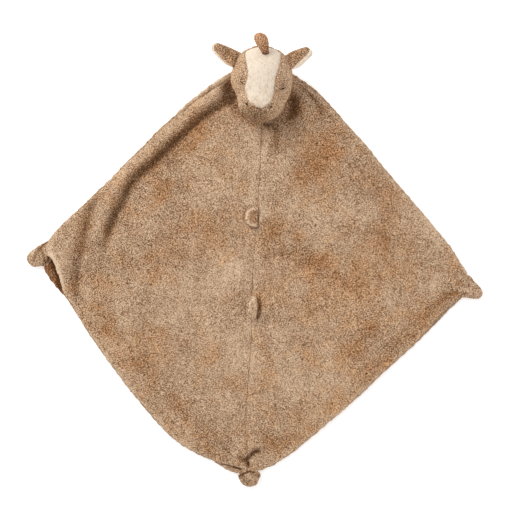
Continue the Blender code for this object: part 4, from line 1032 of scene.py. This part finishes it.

# Their creases: lines of (sideways, distance from the hinge) in millimetres, how dark their painted shade is, and
# half
# # width; and how dark and how light the whole nub lies
CREASES = {
    "knot_left": (((((-14, -11), (-6, .2), (.6, -.6), (7, -.4), (13, 1)), .6, 1.5),
                   (((0, -7), (5.5, -5), (9.5, -3.4)), 1, 2.6), (((-6, 6), (-1.5, 7), (1, 10), (-2, 13)), .4, 1.0),
                   (((4, 5), (5.4, 9), (2.4, 13)), .3, 1.0)), 0, .1),
    "knot_right": (((((-1, -6), (.4, 1), (2.4, 6), (3.4, 11)), .32, 1.6), (((-6, 3), (-5, 8), (-2, 13)), .15, 1.1)),
                   0, .34),
    "knot_bottom": (((((-12, 3.5), (-6, -.6), (-.8, -3), (5, -2.2)), .95, 1.1),
                     (((1, -3), (3, 2), (.6, 7), (-3, 9)), .4, .9), (((5, -1), (7.4, 3), (6.2, 8)), .35, .9),
                     (((-9, 4), (-5.4, 8.4), (-1, 11)), .35, .9)), .1, .06),
}


def corner_knot(scene, name):
    """A corner tied into a nub: broad where it leaves the blanket, with folds that wind round it."""
    (x, y), degrees, stations = NUBS[name]
    creases, shade, light = CREASES[name]
    angle = math.radians(degrees)
    outward = np.array([math.cos(angle), math.sin(angle), 0])
    across = np.array([-math.sin(angle), math.cos(angle), 0])
    table = np.array(stations, float)
    start, tip = table[0, 0], table[-1, 0]
    turn = whole_turn(132)
    rings, folds = [], []
    for t in np.linspace(0, 1, 82)[1:-1]:
        s = start + (tip - start) * (t - .35 * math.sin(2 * math.pi * t) / (2 * math.pi))
        left, right, high, middle = (float(through(s, table[:, (0, k)])) for k in (1, 2, 3, 4))
        wind = turn * 4 + .34 * s + .9 * np.sin(turn * 2 + .2 * s)
        deep = .035 + .06 * bell((s - 2) / 5)
        wave = 1 + deep * np.cos(wind) + .025 * np.cos(turn * 3 - .4 * s)
        side = np.where(np.cos(turn) > 0, left, right)
        sideways = side * wave * np.cos(turn)
        crease = np.zeros(len(turn))
        for line, dark, half_width in creases:
            near = beside(np.column_stack([sideways, np.full(len(turn), s)]), line)[0]
            crease = np.maximum(crease, dark * bell(near / half_width) * smooth(np.sin(turn), -.3, .2))
        ring = (np.array([x, y, middle]) + outward * s) + sideways[:, None] * across
        ring[:, 2] += (high * wave - 1.1 * crease) * np.sin(turn)
        ring[:, 2] = np.where(ring[:, 2] < .5, .5 - .2 * (1 - np.exp(ring[:, 2] - .5)), ring[:, 2])
        rings.append(ring * MM)
        # Painted shade in the valleys of the wound folds and along the creases, plus the whole nub's tone
        folds.append(np.clip(-np.cos(wind), 0, 1) * (deep * 3.4) + crease + shade)
    ends = [np.mean(rings[k], axis=0) + outward * step * MM for k, step in ((0, -.2), (-1, .2))]
    folds = np.concatenate(folds)
    piece = loft(name + "_plush", rings, ends, fold=folds, lie=np.full(len(folds), light))
    raise_pile(piece, scene, scene.lovey_cloth, tan_cloth(scene), .9)
    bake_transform(piece)
    declare(piece, name)


# Each tab: its hinge, reach and length in millimetres, how far it leans up in degrees, how plump it is beside the
# seam, and how square its outline is, 2 for a half round
TAB_HEIGHT = 9.9
TABS = {
    "seam_tab_upper": ((0, 49.442), (13.4, 23.4), 0, 0, 2.4),
    "seam_tab_lower": ((.144, -50.151), (11.8, 27.2), 48, 4.6, 2.1),
}


def seam_tab(scene, name):
    """A soft half-round tab sewn into the seam: a raised rim round a shallow middle."""
    (x, y), (width, length), lean, plump, power = TABS[name]
    along = np.sin(np.linspace(-1, 1, 81) * math.pi / 2)[:, None] * .985
    leaf = 1 - (1 - np.linspace(0, 1, 57)) ** 1.6
    reach = width * (1 - np.abs(along) ** power) ** (1 / power)
    out = -reach * leaf + 1.4 * (1 - leaf) ** 4
    share = (np.clip(-out / width, 0, 1) ** power + np.abs(along) ** power) ** (1 / power)
    from_edge = np.clip(1 - share, 0, 1) * 11
    turned = rounded(from_edge, 2.6)
    rim_rise = .9 * bell((from_edge - 2.4) / 1.4)
    sewn = bell(leaf / .14)
    body = plump * bell((leaf - .16) / .42) * np.clip(1 - np.abs(along) ** 2.2, 0, 1)
    top = (.35 + 1.7 * turned + rim_rise) * (1 - .5 * sewn) + body * turned
    under = -(.3 + 1.2 * turned) * (1 - .4 * sewn)
    sag = 1.2 * np.sin(leaf * math.pi) if lean else -.5 * leaf ** 2
    ys = np.repeat(along * length / 2, out.shape[1], axis=1)
    rolled = math.radians(lean)
    turn = np.array([[math.cos(rolled), 0, math.sin(rolled)], [0, 1, 0], [-math.sin(rolled), 0, math.cos(rolled)]])
    hinge = np.array([x, y, TAB_HEIGHT])
    outer, inner = ((hinge + np.stack([out, ys, side + sag], axis=2) @ turn.T) * MM for side in (top, under))
    # Painted shade at the hinge and just inside the tab's edge
    fold = .35 * bell(leaf / .08) + .22 * bell((from_edge - .3) / .8)
    # Painted highlight on the raised rim; the flat tab darker in its sunk middle, the leaning tab painted lighter
    # where its top faces away from the key light
    lie = .3 * bell((from_edge - 2.2) / 1.3) + (.36 if lean else -.32 * smooth(from_edge, 3, 5.5))
    piece = layered_grid(name + "_plush", outer, inner, nap=np.full(2 * lie.size, .8),
                         fold=np.tile(fold.ravel(), 2), lie=np.tile(lie.ravel(), 2))
    raise_pile(piece, scene, scene.lovey_head, tan_small(scene), .8)
    declare(piece, name, name)


# The neck, in millimetres: its middle in plan, foot and top, radius, how far the foot flares, and its pleats
NECK_MIDDLE, NECK_FOOT, NECK_TOP = 189, 6.2, 15.8
NECK_RADIUS, NECK_FLARE, NECK_PLEATS = 11.6, 4.2, 14


def neck_sleeve(scene):
    """The gathered top corner of the blanket: a short pleated sleeve that goes up into the head."""
    turn = whole_turn(240)
    gathers = np.cos(turn * NECK_PLEATS + .7 * np.sin(turn * 3))
    rings = []
    for up in np.linspace(0, 1, 40):
        radius = (NECK_RADIUS + NECK_FLARE * (1 - up) ** 2.5) * (1 + (.05 * (1 - up) + .018) * gathers)
        rings.append(np.column_stack([radius * np.cos(turn), NECK_MIDDLE + radius * np.sin(turn),
                                      np.full(len(turn), NECK_FOOT + (NECK_TOP - NECK_FOOT) * up)]) * MM)
    ends = np.array([(0, NECK_MIDDLE, NECK_FOOT), (0, NECK_MIDDLE, NECK_TOP)]) * MM
    # Painted shade in the valleys of the pleats
    piece = loft("neck_sleeve_plush", rings, ends, fold=np.tile(np.clip(-gathers, 0, 1) * .7, len(rings)))
    raise_pile(piece, scene, scene.lovey_head, tan_small(scene))
    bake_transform(piece)
    declare(piece, "neck_gather")


# Pieces of the head


def side_turns():
    """Turns round the edge of a side panel: down the blaze, under the muzzle, round the neck and up the back."""
    front, back = neck_turns()
    parts = [np.linspace(CROWN_TURN, NOSE_TURN, 181)[:-1], np.linspace(NOSE_TURN, front, 51)[:-1],
             np.linspace(front, back, 61)[:-1], np.linspace(back, CROWN_TURN - 2 * math.pi, 109)[:-1]]
    return np.concatenate(parts), front, back


def side_edge(side):
    """Turns round a side panel's edge, the spread of the edge at each, and the turn where the neck begins."""
    turn, front, back = side_turns()
    seam = np.where(turn >= NOSE_TURN, blaze_half_width(turn, side), 0)
    seam = np.where(turn < (front + back) / 2, BACK_GUSSET_HALF_WIDTH, seam) + .06 * MM
    edge = widest(turn, within(seam))
    under = turn < front + .02
    return turn, np.where(under, np.maximum(edge, widest(turn, in_neck_opening)), edge), front


def finish_head_piece(piece, scene, node, material, height=1.0):
    raise_pile(piece, scene, scene.lovey_head, material, height)
    declare(piece, node, "head")


def skin_panel(name, outer, turns, spread, nap, fold):
    """A panel of skin from its outer points, with a sparser inside."""
    inner = lining(turns[::4, ::4], spread[::4, ::4])
    return layered_grid(name, outer + HEAD_MIDDLE, inner + HEAD_MIDDLE, nap=nap.ravel(), fold=fold.ravel())


def head_side(scene, side):
    """Cheek, jaw and brow in one panel."""
    turn, edge, front = side_edge(side)
    depth = scene.lovey_head.seam_depth
    rings = np.linspace(0, 1, 97)[:-1, None]
    spread = edge + (math.pi / 2 - edge) * rings
    turns = np.repeat(turn[None, :], len(rings), axis=0)
    distance = (spread - edge) * SKIN_ACROSS
    chin = smooth(-turn, -NOSE_TURN, .1 - NOSE_TURN) * smooth(turn, front - .1, front)
    outer = skin_points(turns, side * spread, distance, depth * (1 - .75 * chin))
    inner = lining(turns[::4, ::4], side * spread[::4, ::4])
    cheek = np.array([0.0]), np.array([side * math.pi / 2])
    (count, around), (small_count, small_around) = outer.shape[:2], inner.shape[:2]
    start = count * around
    pole = start + small_count * small_around
    faces = grid_faces(count, around, wrap=True) + grid_faces(small_count, small_around, start, wrap=True)
    faces += cap(start - around, around, pole) + cap(pole - small_around, small_around, pole + 1)
    faces += sew(list(range(around)), list(range(small_around)), start)
    points = np.vstack([outer.reshape(-1, 3), inner.reshape(-1, 3),
                        skin_points(*cheek, np.array([.03]), depth), lining(*cheek)]) + HEAD_MIDDLE
    # Painted shade in the seams, on the lower muzzle where it turns away (with its dark speckle), and in the dimples
    # by the eyes
    seam = (1 - (1 - smooth(distance, 0, .003)) * (1 - .85 * chin)).ravel()
    x, y, z = outer.reshape(-1, 3).T / MM
    above = smooth(z, -14, -6)
    muzzle_shade_and_speckle = bell((x + 8) / 12, (y + 33.5) / 8) * above
    brow = bell((np.abs(x) - 20) / 5, (y - 2) / 9) * above
    fold = np.clip(.14 * (1 - seam) + 1.6 * muzzle_shade_and_speckle + .24 * brow, 0, 1)
    piece = add_piece(f"head_{HAND[side]}_plush", points, faces, .25 + .75 * seam, fold)
    finish_head_piece(piece, scene, "head_side_" + HAND[side], tan_small(scene))


def blaze_panel(scene):
    """The cream panel down the face."""
    turn = np.linspace(CROWN_TURN, NOSE_TURN + .012, 221)
    left, right = (widest(turn, within(blaze_half_width(turn, side)))[:, None] for side in (-1, 1))
    columns = np.linspace(-1, 1, 105)
    spread = (right - left) / 2 + (right + left) / 2 * columns
    turns = np.repeat(turn[:, None], len(columns), axis=1)
    distance = np.minimum((right + left) / 2 * (1 - np.abs(columns)) * SKIN_ACROSS, (CROWN_TURN - turns) * SKIN_ALONG)
    outer = skin_points(turns, spread, distance, scene.lovey_head.seam_depth)
    x, y = outer[..., 0] / MM, outer[..., 1] / MM
    # Painted shade at the low end of the blaze, where the muzzle turns down, and along its seams
    low = .12 * bell((y + 29) / 7) + .30 * bell((x + 9) / 7, (y + 25) / 7)
    seam = smooth(distance, 0, .0025)
    piece = skin_panel("blaze_plush", outer, turns, spread, .2 + .8 * seam, .10 * (1 - seam) + low)
    finish_head_piece(piece, scene, "blaze_gusset", cream_pile(scene), .7)


def back_gusset(scene):
    """From the neck opening over the back of the head to the crown."""
    front, back = neck_turns()
    crown = CROWN_TURN - 2 * math.pi + .012
    columns = np.linspace(-1, 1, 65)

    def over_neck(turn):
        return in_neck_opening(turn, np.abs(columns) * widest(turn, within(BACK_GUSSET_HALF_WIDTH)))

    far = halving(np.full(65, (front + back) / 2), np.full(65, crown), over_neck, 24)[1]
    turns = far + (crown - far) * np.linspace(0, 1, 121)[:, None]
    spread = columns * widest(turns, within(BACK_GUSSET_HALF_WIDTH))
    distance = np.minimum((1 - np.abs(columns)) * BACK_GUSSET_HALF_WIDTH, (crown - turns) * SKIN_ALONG)
    outer = skin_points(turns, spread, distance, scene.lovey_head.seam_depth)
    seam = smooth(distance, 0, .003)
    # Painted shade along its seams
    piece = skin_panel("head_back_plush", outer, turns, spread, .25 + .75 * seam, .5 * (1 - seam))
    finish_head_piece(piece, scene, "head_back_gusset", tan_small(scene))


def ear_frame(side):
    """An ear's root in millimetres, and its ways: along the ear, across it and out of its face."""
    hinge = np.array([side * 28.875, 217.552, 44.118])
    along = np.array([side * .84598, .52863, .06976])
    across = np.array([side * .46004, -.78977, .40575])
    out = np.array([-side * .26958, .31116, .91132])
    return hinge, along, across, out


# An ear's half width in millimetres, and the share of it along the ear
EAR_HALF_WIDTH = 10
EAR_WIDTHS = ((0, 1.0), (.3, .96), (.6, .77), (.82, .58), (.95, .4), (1, .15))
# Each ear's layers: length, shift towards the lower edge, and share of the width
EAR_LAYERS = {(-1, True): (28.2, -.5, 1.0), (-1, False): (29.3, .7, .98),
              (1, True): (25.6, -1.8, .9), (1, False): (26.7, .7, .98)}


def ear_layer(scene, side, outer_leaf):
    """One layer of an ear: the tan outer, or the cream lining that shows past it along the lower edge."""
    hinge, along, across, out = ear_frame(side)
    s = np.sin(np.linspace(0, 1, 73) * math.pi / 2)[:, None]
    c = np.sin(np.linspace(-1, 1, 57) * math.pi / 2)
    length, shift, share = EAR_LAYERS[side, outer_leaf]
    sideways = EAR_HALF_WIDTH * share * through(s, EAR_WIDTHS) * c + shift * smooth(s, 0, .35)
    bend = 3.2 * np.clip(s / .3, .06, 1) * c ** 2
    plump = np.sqrt(np.clip(1 - np.abs(c) ** 2.6, 0, 1)) * np.sqrt(np.clip(1 - s ** 7, 0, 1))
    plump = plump * (.35 + .65 * smooth(s, 0, .18))

    def placed(reach, sideways, lift):
        return (hinge + reach[..., None] * along + sideways[..., None] * across + lift[..., None] * out) * MM

    root = halving(np.full(len(c), -15.0), np.full(len(c), 15.0),
                   lambda reach: head_depth(placed(reach, sideways[0], -bend[0]) - HEAD_MIDDLE) <= 0, 24)[1]
    reach = root + (length - root) * s
    crease = -.5 * bell((c - .1) / .25) * smooth(s, .02, .3) * (1 - smooth(s, .5, .95))
    thick = .65 + (3.1 * plump + crease if outer_leaf else 2.6 * plump)
    sign = 1 if outer_leaf else -1
    outer, inner = (placed(reach, sideways, sign * height - bend) for height in (thick, .15))
    # Painted shade at the root and in the cup of the outer layer, deepened by its lie, and along the lining's edge
    # where it rolls away
    root_shade = .7 * bell(s / .13)
    fold = root_shade + (.72 * plump ** 2 - .08 if outer_leaf else .1 + .25 * (1 - plump))
    body, layer = "ear_" + HAND[side], "outer" if outer_leaf else "lining"
    piece = layered_grid(f"{body}_{layer}_plush", outer, inner[::4, ::4], nap=(.4 + .6 * plump).ravel(),
                         fold=fold.ravel() * .7, lie=(-.3 * plump).ravel() if outer_leaf else ())
    raise_pile(piece, scene, scene.lovey_head, (tan_small if outer_leaf else cream_pile)(scene))
    declare(piece, f"{body}_{layer}", body)


# The forelock's half width and half thickness at its broadest, in millimetres
FORELOCK_HALF_WIDTH, FORELOCK_HALF_THICKNESS = 7.4, 4.9


def forelock_piece(scene):
    """A small stuffed tongue that rises from the crown and bends back."""
    root = np.array([2.62, 224.3, 60.6])
    bend, end = root + np.array([-1.6, 3.6, 11.2]), root + np.array([-6.9, 20.4, 6.3])
    widths = ((0, .55), (.12, .58), (.35, .74), (.6, .96), (.8, .98), (.93, .7), (1, .06))
    turn = whole_turn(110)
    rings, folds, lies = [], [], []
    for s in np.linspace(0, 1, 71)[:-1]:
        centre = (1 - s) ** 2 * root + 2 * s * (1 - s) * bend + s * s * end
        tangent = unit((1 - s) * (bend - root) + s * (end - bend))
        share = float(through(s, widths))
        over = np.cross([1, 0, 0], tangent)
        wave = 1 + .03 * np.cos(turn * 3 + 4 * s)
        lean = .9 * math.sin(s * math.pi * .8) - .8 * s
        wide = FORELOCK_HALF_WIDTH * share * wave * np.cos(turn) - lean
        thick = FORELOCK_HALF_THICKNESS * share * wave * np.sin(turn)
        rings.append((centre + wide[:, None] * np.array([1, 0, 0]) + thick[:, None] * over) * MM)
        # Painted shade at the root and on the sides, dark streaks low down, and painted light on the lifted tip by
        # its lie
        streak = np.clip(np.cos(turn * 3 + 2.2 * s + 1.2), 0, 1) ** 3
        folds.append(.7 * bell(s / .16) + .12 * np.abs(np.cos(turn)) ** 6 + .3 * streak * (1 - s))
        lies.append(np.full(len(turn), .75 * float(smooth(s, .45, .85)) - .25 * (1 - s)))
    piece = loft("forelock_plush", rings, fold=np.concatenate(folds), lie=np.concatenate(lies))
    brown = material_named("brown_plush", plush_material, scene.lovey_colours.brown[:], scene.lovey_head.curl_size,
                           patches=.7)
    raise_pile(piece, scene, scene.lovey_head, brown, 1.3)
    declare(piece, "forelock", "forelock")


# How deep the face's stitches sink, and each mark: its place from the head's middle, length, turn in degrees and
# width, in millimetres
MARK_SINK = .55
FACE_MARKS = {
    "eye_left": ((-21.3, -1.5), 6.2, -38, 1.0), "eye_right": ((23.1, -6), 6.4, 29, 1.4),
    "nostril_left": ((-15.4, -25), 3.5, -50, 2.3), "nostril_right": ((11, -27.1), 3.0, 65, 1.7),
}


def face_mark(scene, name):
    """Satin stitches side by side, sunk into the pile."""
    (x, y), length, degrees, width = FACE_MARKS[name]
    angle = math.radians(degrees)
    run = np.array([math.cos(angle), math.sin(angle), 0])
    rings = []
    turn = whole_turn(20)
    for t in np.linspace(-1, 1, 41)[1:-1]:
        spot = np.array([x, y, 0]) * MM + run * t * length / 2 * MM
        spot[1] += .45 * MM * (1 - t * t) * (-1 if "eye" in name else 0)
        point, out = face_place(spot[0], spot[1])
        point = point - unit(point) * MARK_SINK * MM
        across = unit(np.cross(out, run))
        half = width / 2 * math.sqrt(1 - t * t) * (1 + .10 * math.cos(t * 30))
        rings.append(HEAD_MIDDLE + point + (half * np.cos(turn) * MM)[:, None] * across
                     + ((.25 + .62 * half * np.sin(turn)) * MM)[:, None] * out)
    piece = loft(name + "_thread", rings)
    piece.data.materials.append(material_named("brown_thread", thread_material, scene.lovey_colours.thread[:]))
    declare(piece, name, "head")


# How far inside the head's surface the filling lies, and how lumpy it is, in millimetres
FILLING_DEPTH, FILLING_LUMPS = 4.6, .5


def head_filling(scene):
    """The fibre filling inside the skin."""
    turn = whole_turn(64)
    rings = []
    for spread in np.linspace(-math.pi / 2, math.pi / 2, 34)[1:-1]:
        point = head_surface(turn, np.full_like(turn, spread))
        size = np.linalg.norm(point, axis=1, keepdims=True)
        depth = (FILLING_DEPTH + FILLING_LUMPS * swell(point, .014, 21))[:, None] * MM
        rings.append(HEAD_MIDDLE + point * (1 - depth / size))
    ends = HEAD_MIDDLE + head_surface(np.zeros(2), np.array([-math.pi / 2, math.pi / 2])) * .86
    piece = loft("head_filling_fibre", rings, ends)
    piece.data.materials.append(material_named("white_fibre", fibre_material, scene.lovey_colours.filling[:]))
    declare(piece, "head_stuffing", "head")


def stitch_line(name, points, values):
    """Stitches along a line of points, as one plain mesh."""
    curve = bpy.data.curves.new(name + "_line", "CURVE")
    curve.dimensions = "3D"
    spline = curve.splines.new("POLY")
    spline.points.add(len(points) - 1)
    spline.points.foreach_set("co", np.column_stack([points, np.ones(len(points))]).ravel())
    piece = worked(add_object(name, curve), tree_named("Seam stitches", stitch_tree), values)
    piece.name = name
    piece.data.shade_smooth()
    return piece


def blaze_stitches(scene):
    """Small slanted stitches down both edges of the blaze."""
    head = scene.lovey_head
    turn = np.linspace(CROWN_TURN - .03, NOSE_TURN + .02, 200)
    thread = material_named("seam_thread", thread_material, toned(scene.lovey_colours.tan, 1.25, 1.35, 1.45))
    for side in (-1, 1):
        edge = widest(turn, within(blaze_half_width(turn, side)))
        points = skin_points(turn, side * edge, np.zeros_like(turn), head.seam_depth)
        points = points + unit(points) * .25 * MM + HEAD_MIDDLE
        piece = stitch_line("blaze_stitches_" + HAND[side], points, {
            "Pitch": head.stitch_pitch, "Length": head.stitch_length, "Thickness": .0005, "Slant": .5,
            "Thread": thread})
        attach(piece, "head")


# The studio, in metres: a floor, soft light all round, two lamps (place, size and power), and a camera straight
# above with the photo's small turn and its width on the blanket
FLOOR_REACH, FLOOR_HEIGHT = 4, -.0002
ROUND_LIGHT = .60
LAMPS = (("key_light", (-.95, .95, 1.3), 1.0, 17.5), ("fill_light", (.9, -.7, 1.6), 1.4, 4.5))
CAMERA_PLACE, CAMERA_TURN = (.00093, .00679, 1.807), math.radians(2.18)
CAMERA_DISTANCE, PHOTO_WIDTH, SENSOR_WIDTH = 1.8, .5632, 36


def studio_floor():
    mesh = bpy.data.meshes.new("studio_floor")
    corners = [(x * FLOOR_REACH, y * FLOOR_REACH, FLOOR_HEIGHT) for x, y in ((-1, -1), (1, -1), (1, 1), (-1, 1))]
    mesh.from_pydata(corners, [], [(0, 1, 2, 3)])
    mesh.materials.append(floor_material("studio_paper"))
    add_object("studio_floor", mesh)


def studio_light(scene):
    world = scene.world = bpy.data.worlds.new("studio")
    world.use_nodes = True
    colour, strength = world.node_tree.nodes["Background"].inputs[:2]
    colour.default_value, strength.default_value = (1, 1, 1, 1), ROUND_LIGHT
    for name, place, size, power in LAMPS:
        light = bpy.data.lights.new(name, "AREA")
        light.size, light.energy = size, power
        lamp = add_object(name, light)
        lamp.location = place
        lamp.rotation_euler = (0, math.acos(place[2] / np.linalg.norm(place)), math.atan2(place[1], place[0]))


def photo_camera(scene):
    lens = bpy.data.cameras.new("photo_camera")
    lens.sensor_width, lens.lens = SENSOR_WIDTH, SENSOR_WIDTH * CAMERA_DISTANCE / PHOTO_WIDTH
    lens.clip_start, lens.clip_end = .05, 20
    scene.camera = add_object("photo_camera", lens)
    scene.camera.location, scene.camera.rotation_euler = CAMERA_PLACE, (0, 0, CAMERA_TURN)


# Operators


class LOVEY_OT_back(bpy.types.Operator):
    """Make the back of the blanket"""

    bl_idname = "lovey.back"
    bl_label = "Blanket Back"

    def execute(self, context):
        back_sheet(context.scene)
        return {"FINISHED"}


class LOVEY_OT_front(bpy.types.Operator):
    """Make both halves of the blanket's front"""

    bl_idname = "lovey.front"
    bl_label = "Blanket Front"

    def execute(self, context):
        for side in (-1, 1):
            front_panel(context.scene, side)
        return {"FINISHED"}


class LOVEY_OT_knots(bpy.types.Operator):
    """Make the nubs tied in three corners"""

    bl_idname = "lovey.knots"
    bl_label = "Corner Nubs"

    def execute(self, context):
        for name in NUBS:
            corner_knot(context.scene, name)
        return {"FINISHED"}


class LOVEY_OT_tabs(bpy.types.Operator):
    """Make the two soft tabs in the centre seam"""

    bl_idname = "lovey.tabs"
    bl_label = "Seam Tabs"

    def execute(self, context):
        for name in TABS:
            seam_tab(context.scene, name)
        return {"FINISHED"}


class LOVEY_OT_neck(bpy.types.Operator):
    """Make the gathered neck under the head"""

    bl_idname = "lovey.neck"
    bl_label = "Neck"

    def execute(self, context):
        neck_sleeve(context.scene)
        return {"FINISHED"}


class LOVEY_OT_head(bpy.types.Operator):
    """Make the head's skin panels and its filling"""

    bl_idname = "lovey.head"
    bl_label = "Head"

    def execute(self, context):
        head_filling(context.scene)
        for side in (-1, 1):
            head_side(context.scene, side)
        blaze_panel(context.scene)
        back_gusset(context.scene)
        return {"FINISHED"}


class LOVEY_OT_ears(bpy.types.Operator):
    """Make both ears, each an outer layer and a lining"""

    bl_idname = "lovey.ears"
    bl_label = "Ears"

    def execute(self, context):
        for side in (-1, 1):
            for outer_leaf in (True, False):
                ear_layer(context.scene, side, outer_leaf)
        return {"FINISHED"}


class LOVEY_OT_forelock(bpy.types.Operator):
    """Make the forelock"""

    bl_idname = "lovey.forelock"
    bl_label = "Forelock"

    def execute(self, context):
        forelock_piece(context.scene)
        return {"FINISHED"}


class LOVEY_OT_face(bpy.types.Operator):
    """Embroider the closed eyes and the nostrils"""

    bl_idname = "lovey.face"
    bl_label = "Eyes and Nostrils"

    def execute(self, context):
        for name in FACE_MARKS:
            face_mark(context.scene, name)
        return {"FINISHED"}


class LOVEY_OT_stitches(bpy.types.Operator):
    """Sew the edges of the blaze"""

    bl_idname = "lovey.stitches"
    bl_label = "Blaze Stitches"

    def execute(self, context):
        blaze_stitches(context.scene)
        return {"FINISHED"}


class LOVEY_OT_stage(bpy.types.Operator):
    """Make the floor, the studio light and the camera"""

    bl_idname = "lovey.stage"
    bl_label = "Studio"

    def execute(self, context):
        studio_floor()
        studio_light(context.scene)
        photo_camera(context.scene)
        context.scene.view_settings.view_transform = "Standard"
        return {"FINISHED"}


OPERATORS = (LOVEY_OT_back, LOVEY_OT_front, LOVEY_OT_knots, LOVEY_OT_tabs, LOVEY_OT_neck, LOVEY_OT_head,
             LOVEY_OT_ears, LOVEY_OT_forelock, LOVEY_OT_face, LOVEY_OT_stitches, LOVEY_OT_stage)


class LOVEY_PT_parts(bpy.types.Panel):
    """Lists the sizes, the colours and the operators"""

    bl_idname = "LOVEY_PT_parts"
    bl_label = "Comfort Blanket"
    bl_space_type = "VIEW_3D"
    bl_region_type = "UI"
    bl_category = "Lovey"

    def draw(self, context):
        for title, group in (("Cloth", context.scene.lovey_cloth), ("Head", context.scene.lovey_head),
                             ("Colours", context.scene.lovey_colours)):
            box = self.layout.box()
            box.label(text=title)
            for key in group.__annotations__:
                box.prop(group, key)
        for operator in OPERATORS:
            self.layout.operator(operator.bl_idname)


GROUPS = (("lovey_cloth", LoveyCloth), ("lovey_head", LoveyHead), ("lovey_colours", LoveyColours))


def register():
    for name, group in GROUPS:
        bpy.utils.register_class(group)
        setattr(bpy.types.Scene, name, PointerProperty(type=group))
    for made in (*OPERATORS, LOVEY_PT_parts):
        bpy.utils.register_class(made)


def unregister():
    for made in (LOVEY_PT_parts, *reversed(OPERATORS)):
        bpy.utils.unregister_class(made)
    for name, group in reversed(GROUPS):
        delattr(bpy.types.Scene, name)
        bpy.utils.unregister_class(group)


def main():
    register()
    for operator in OPERATORS:
        group, call = operator.bl_idname.split(".")
        getattr(getattr(bpy.ops, group), call)()


if __name__ == "__main__":
    main()
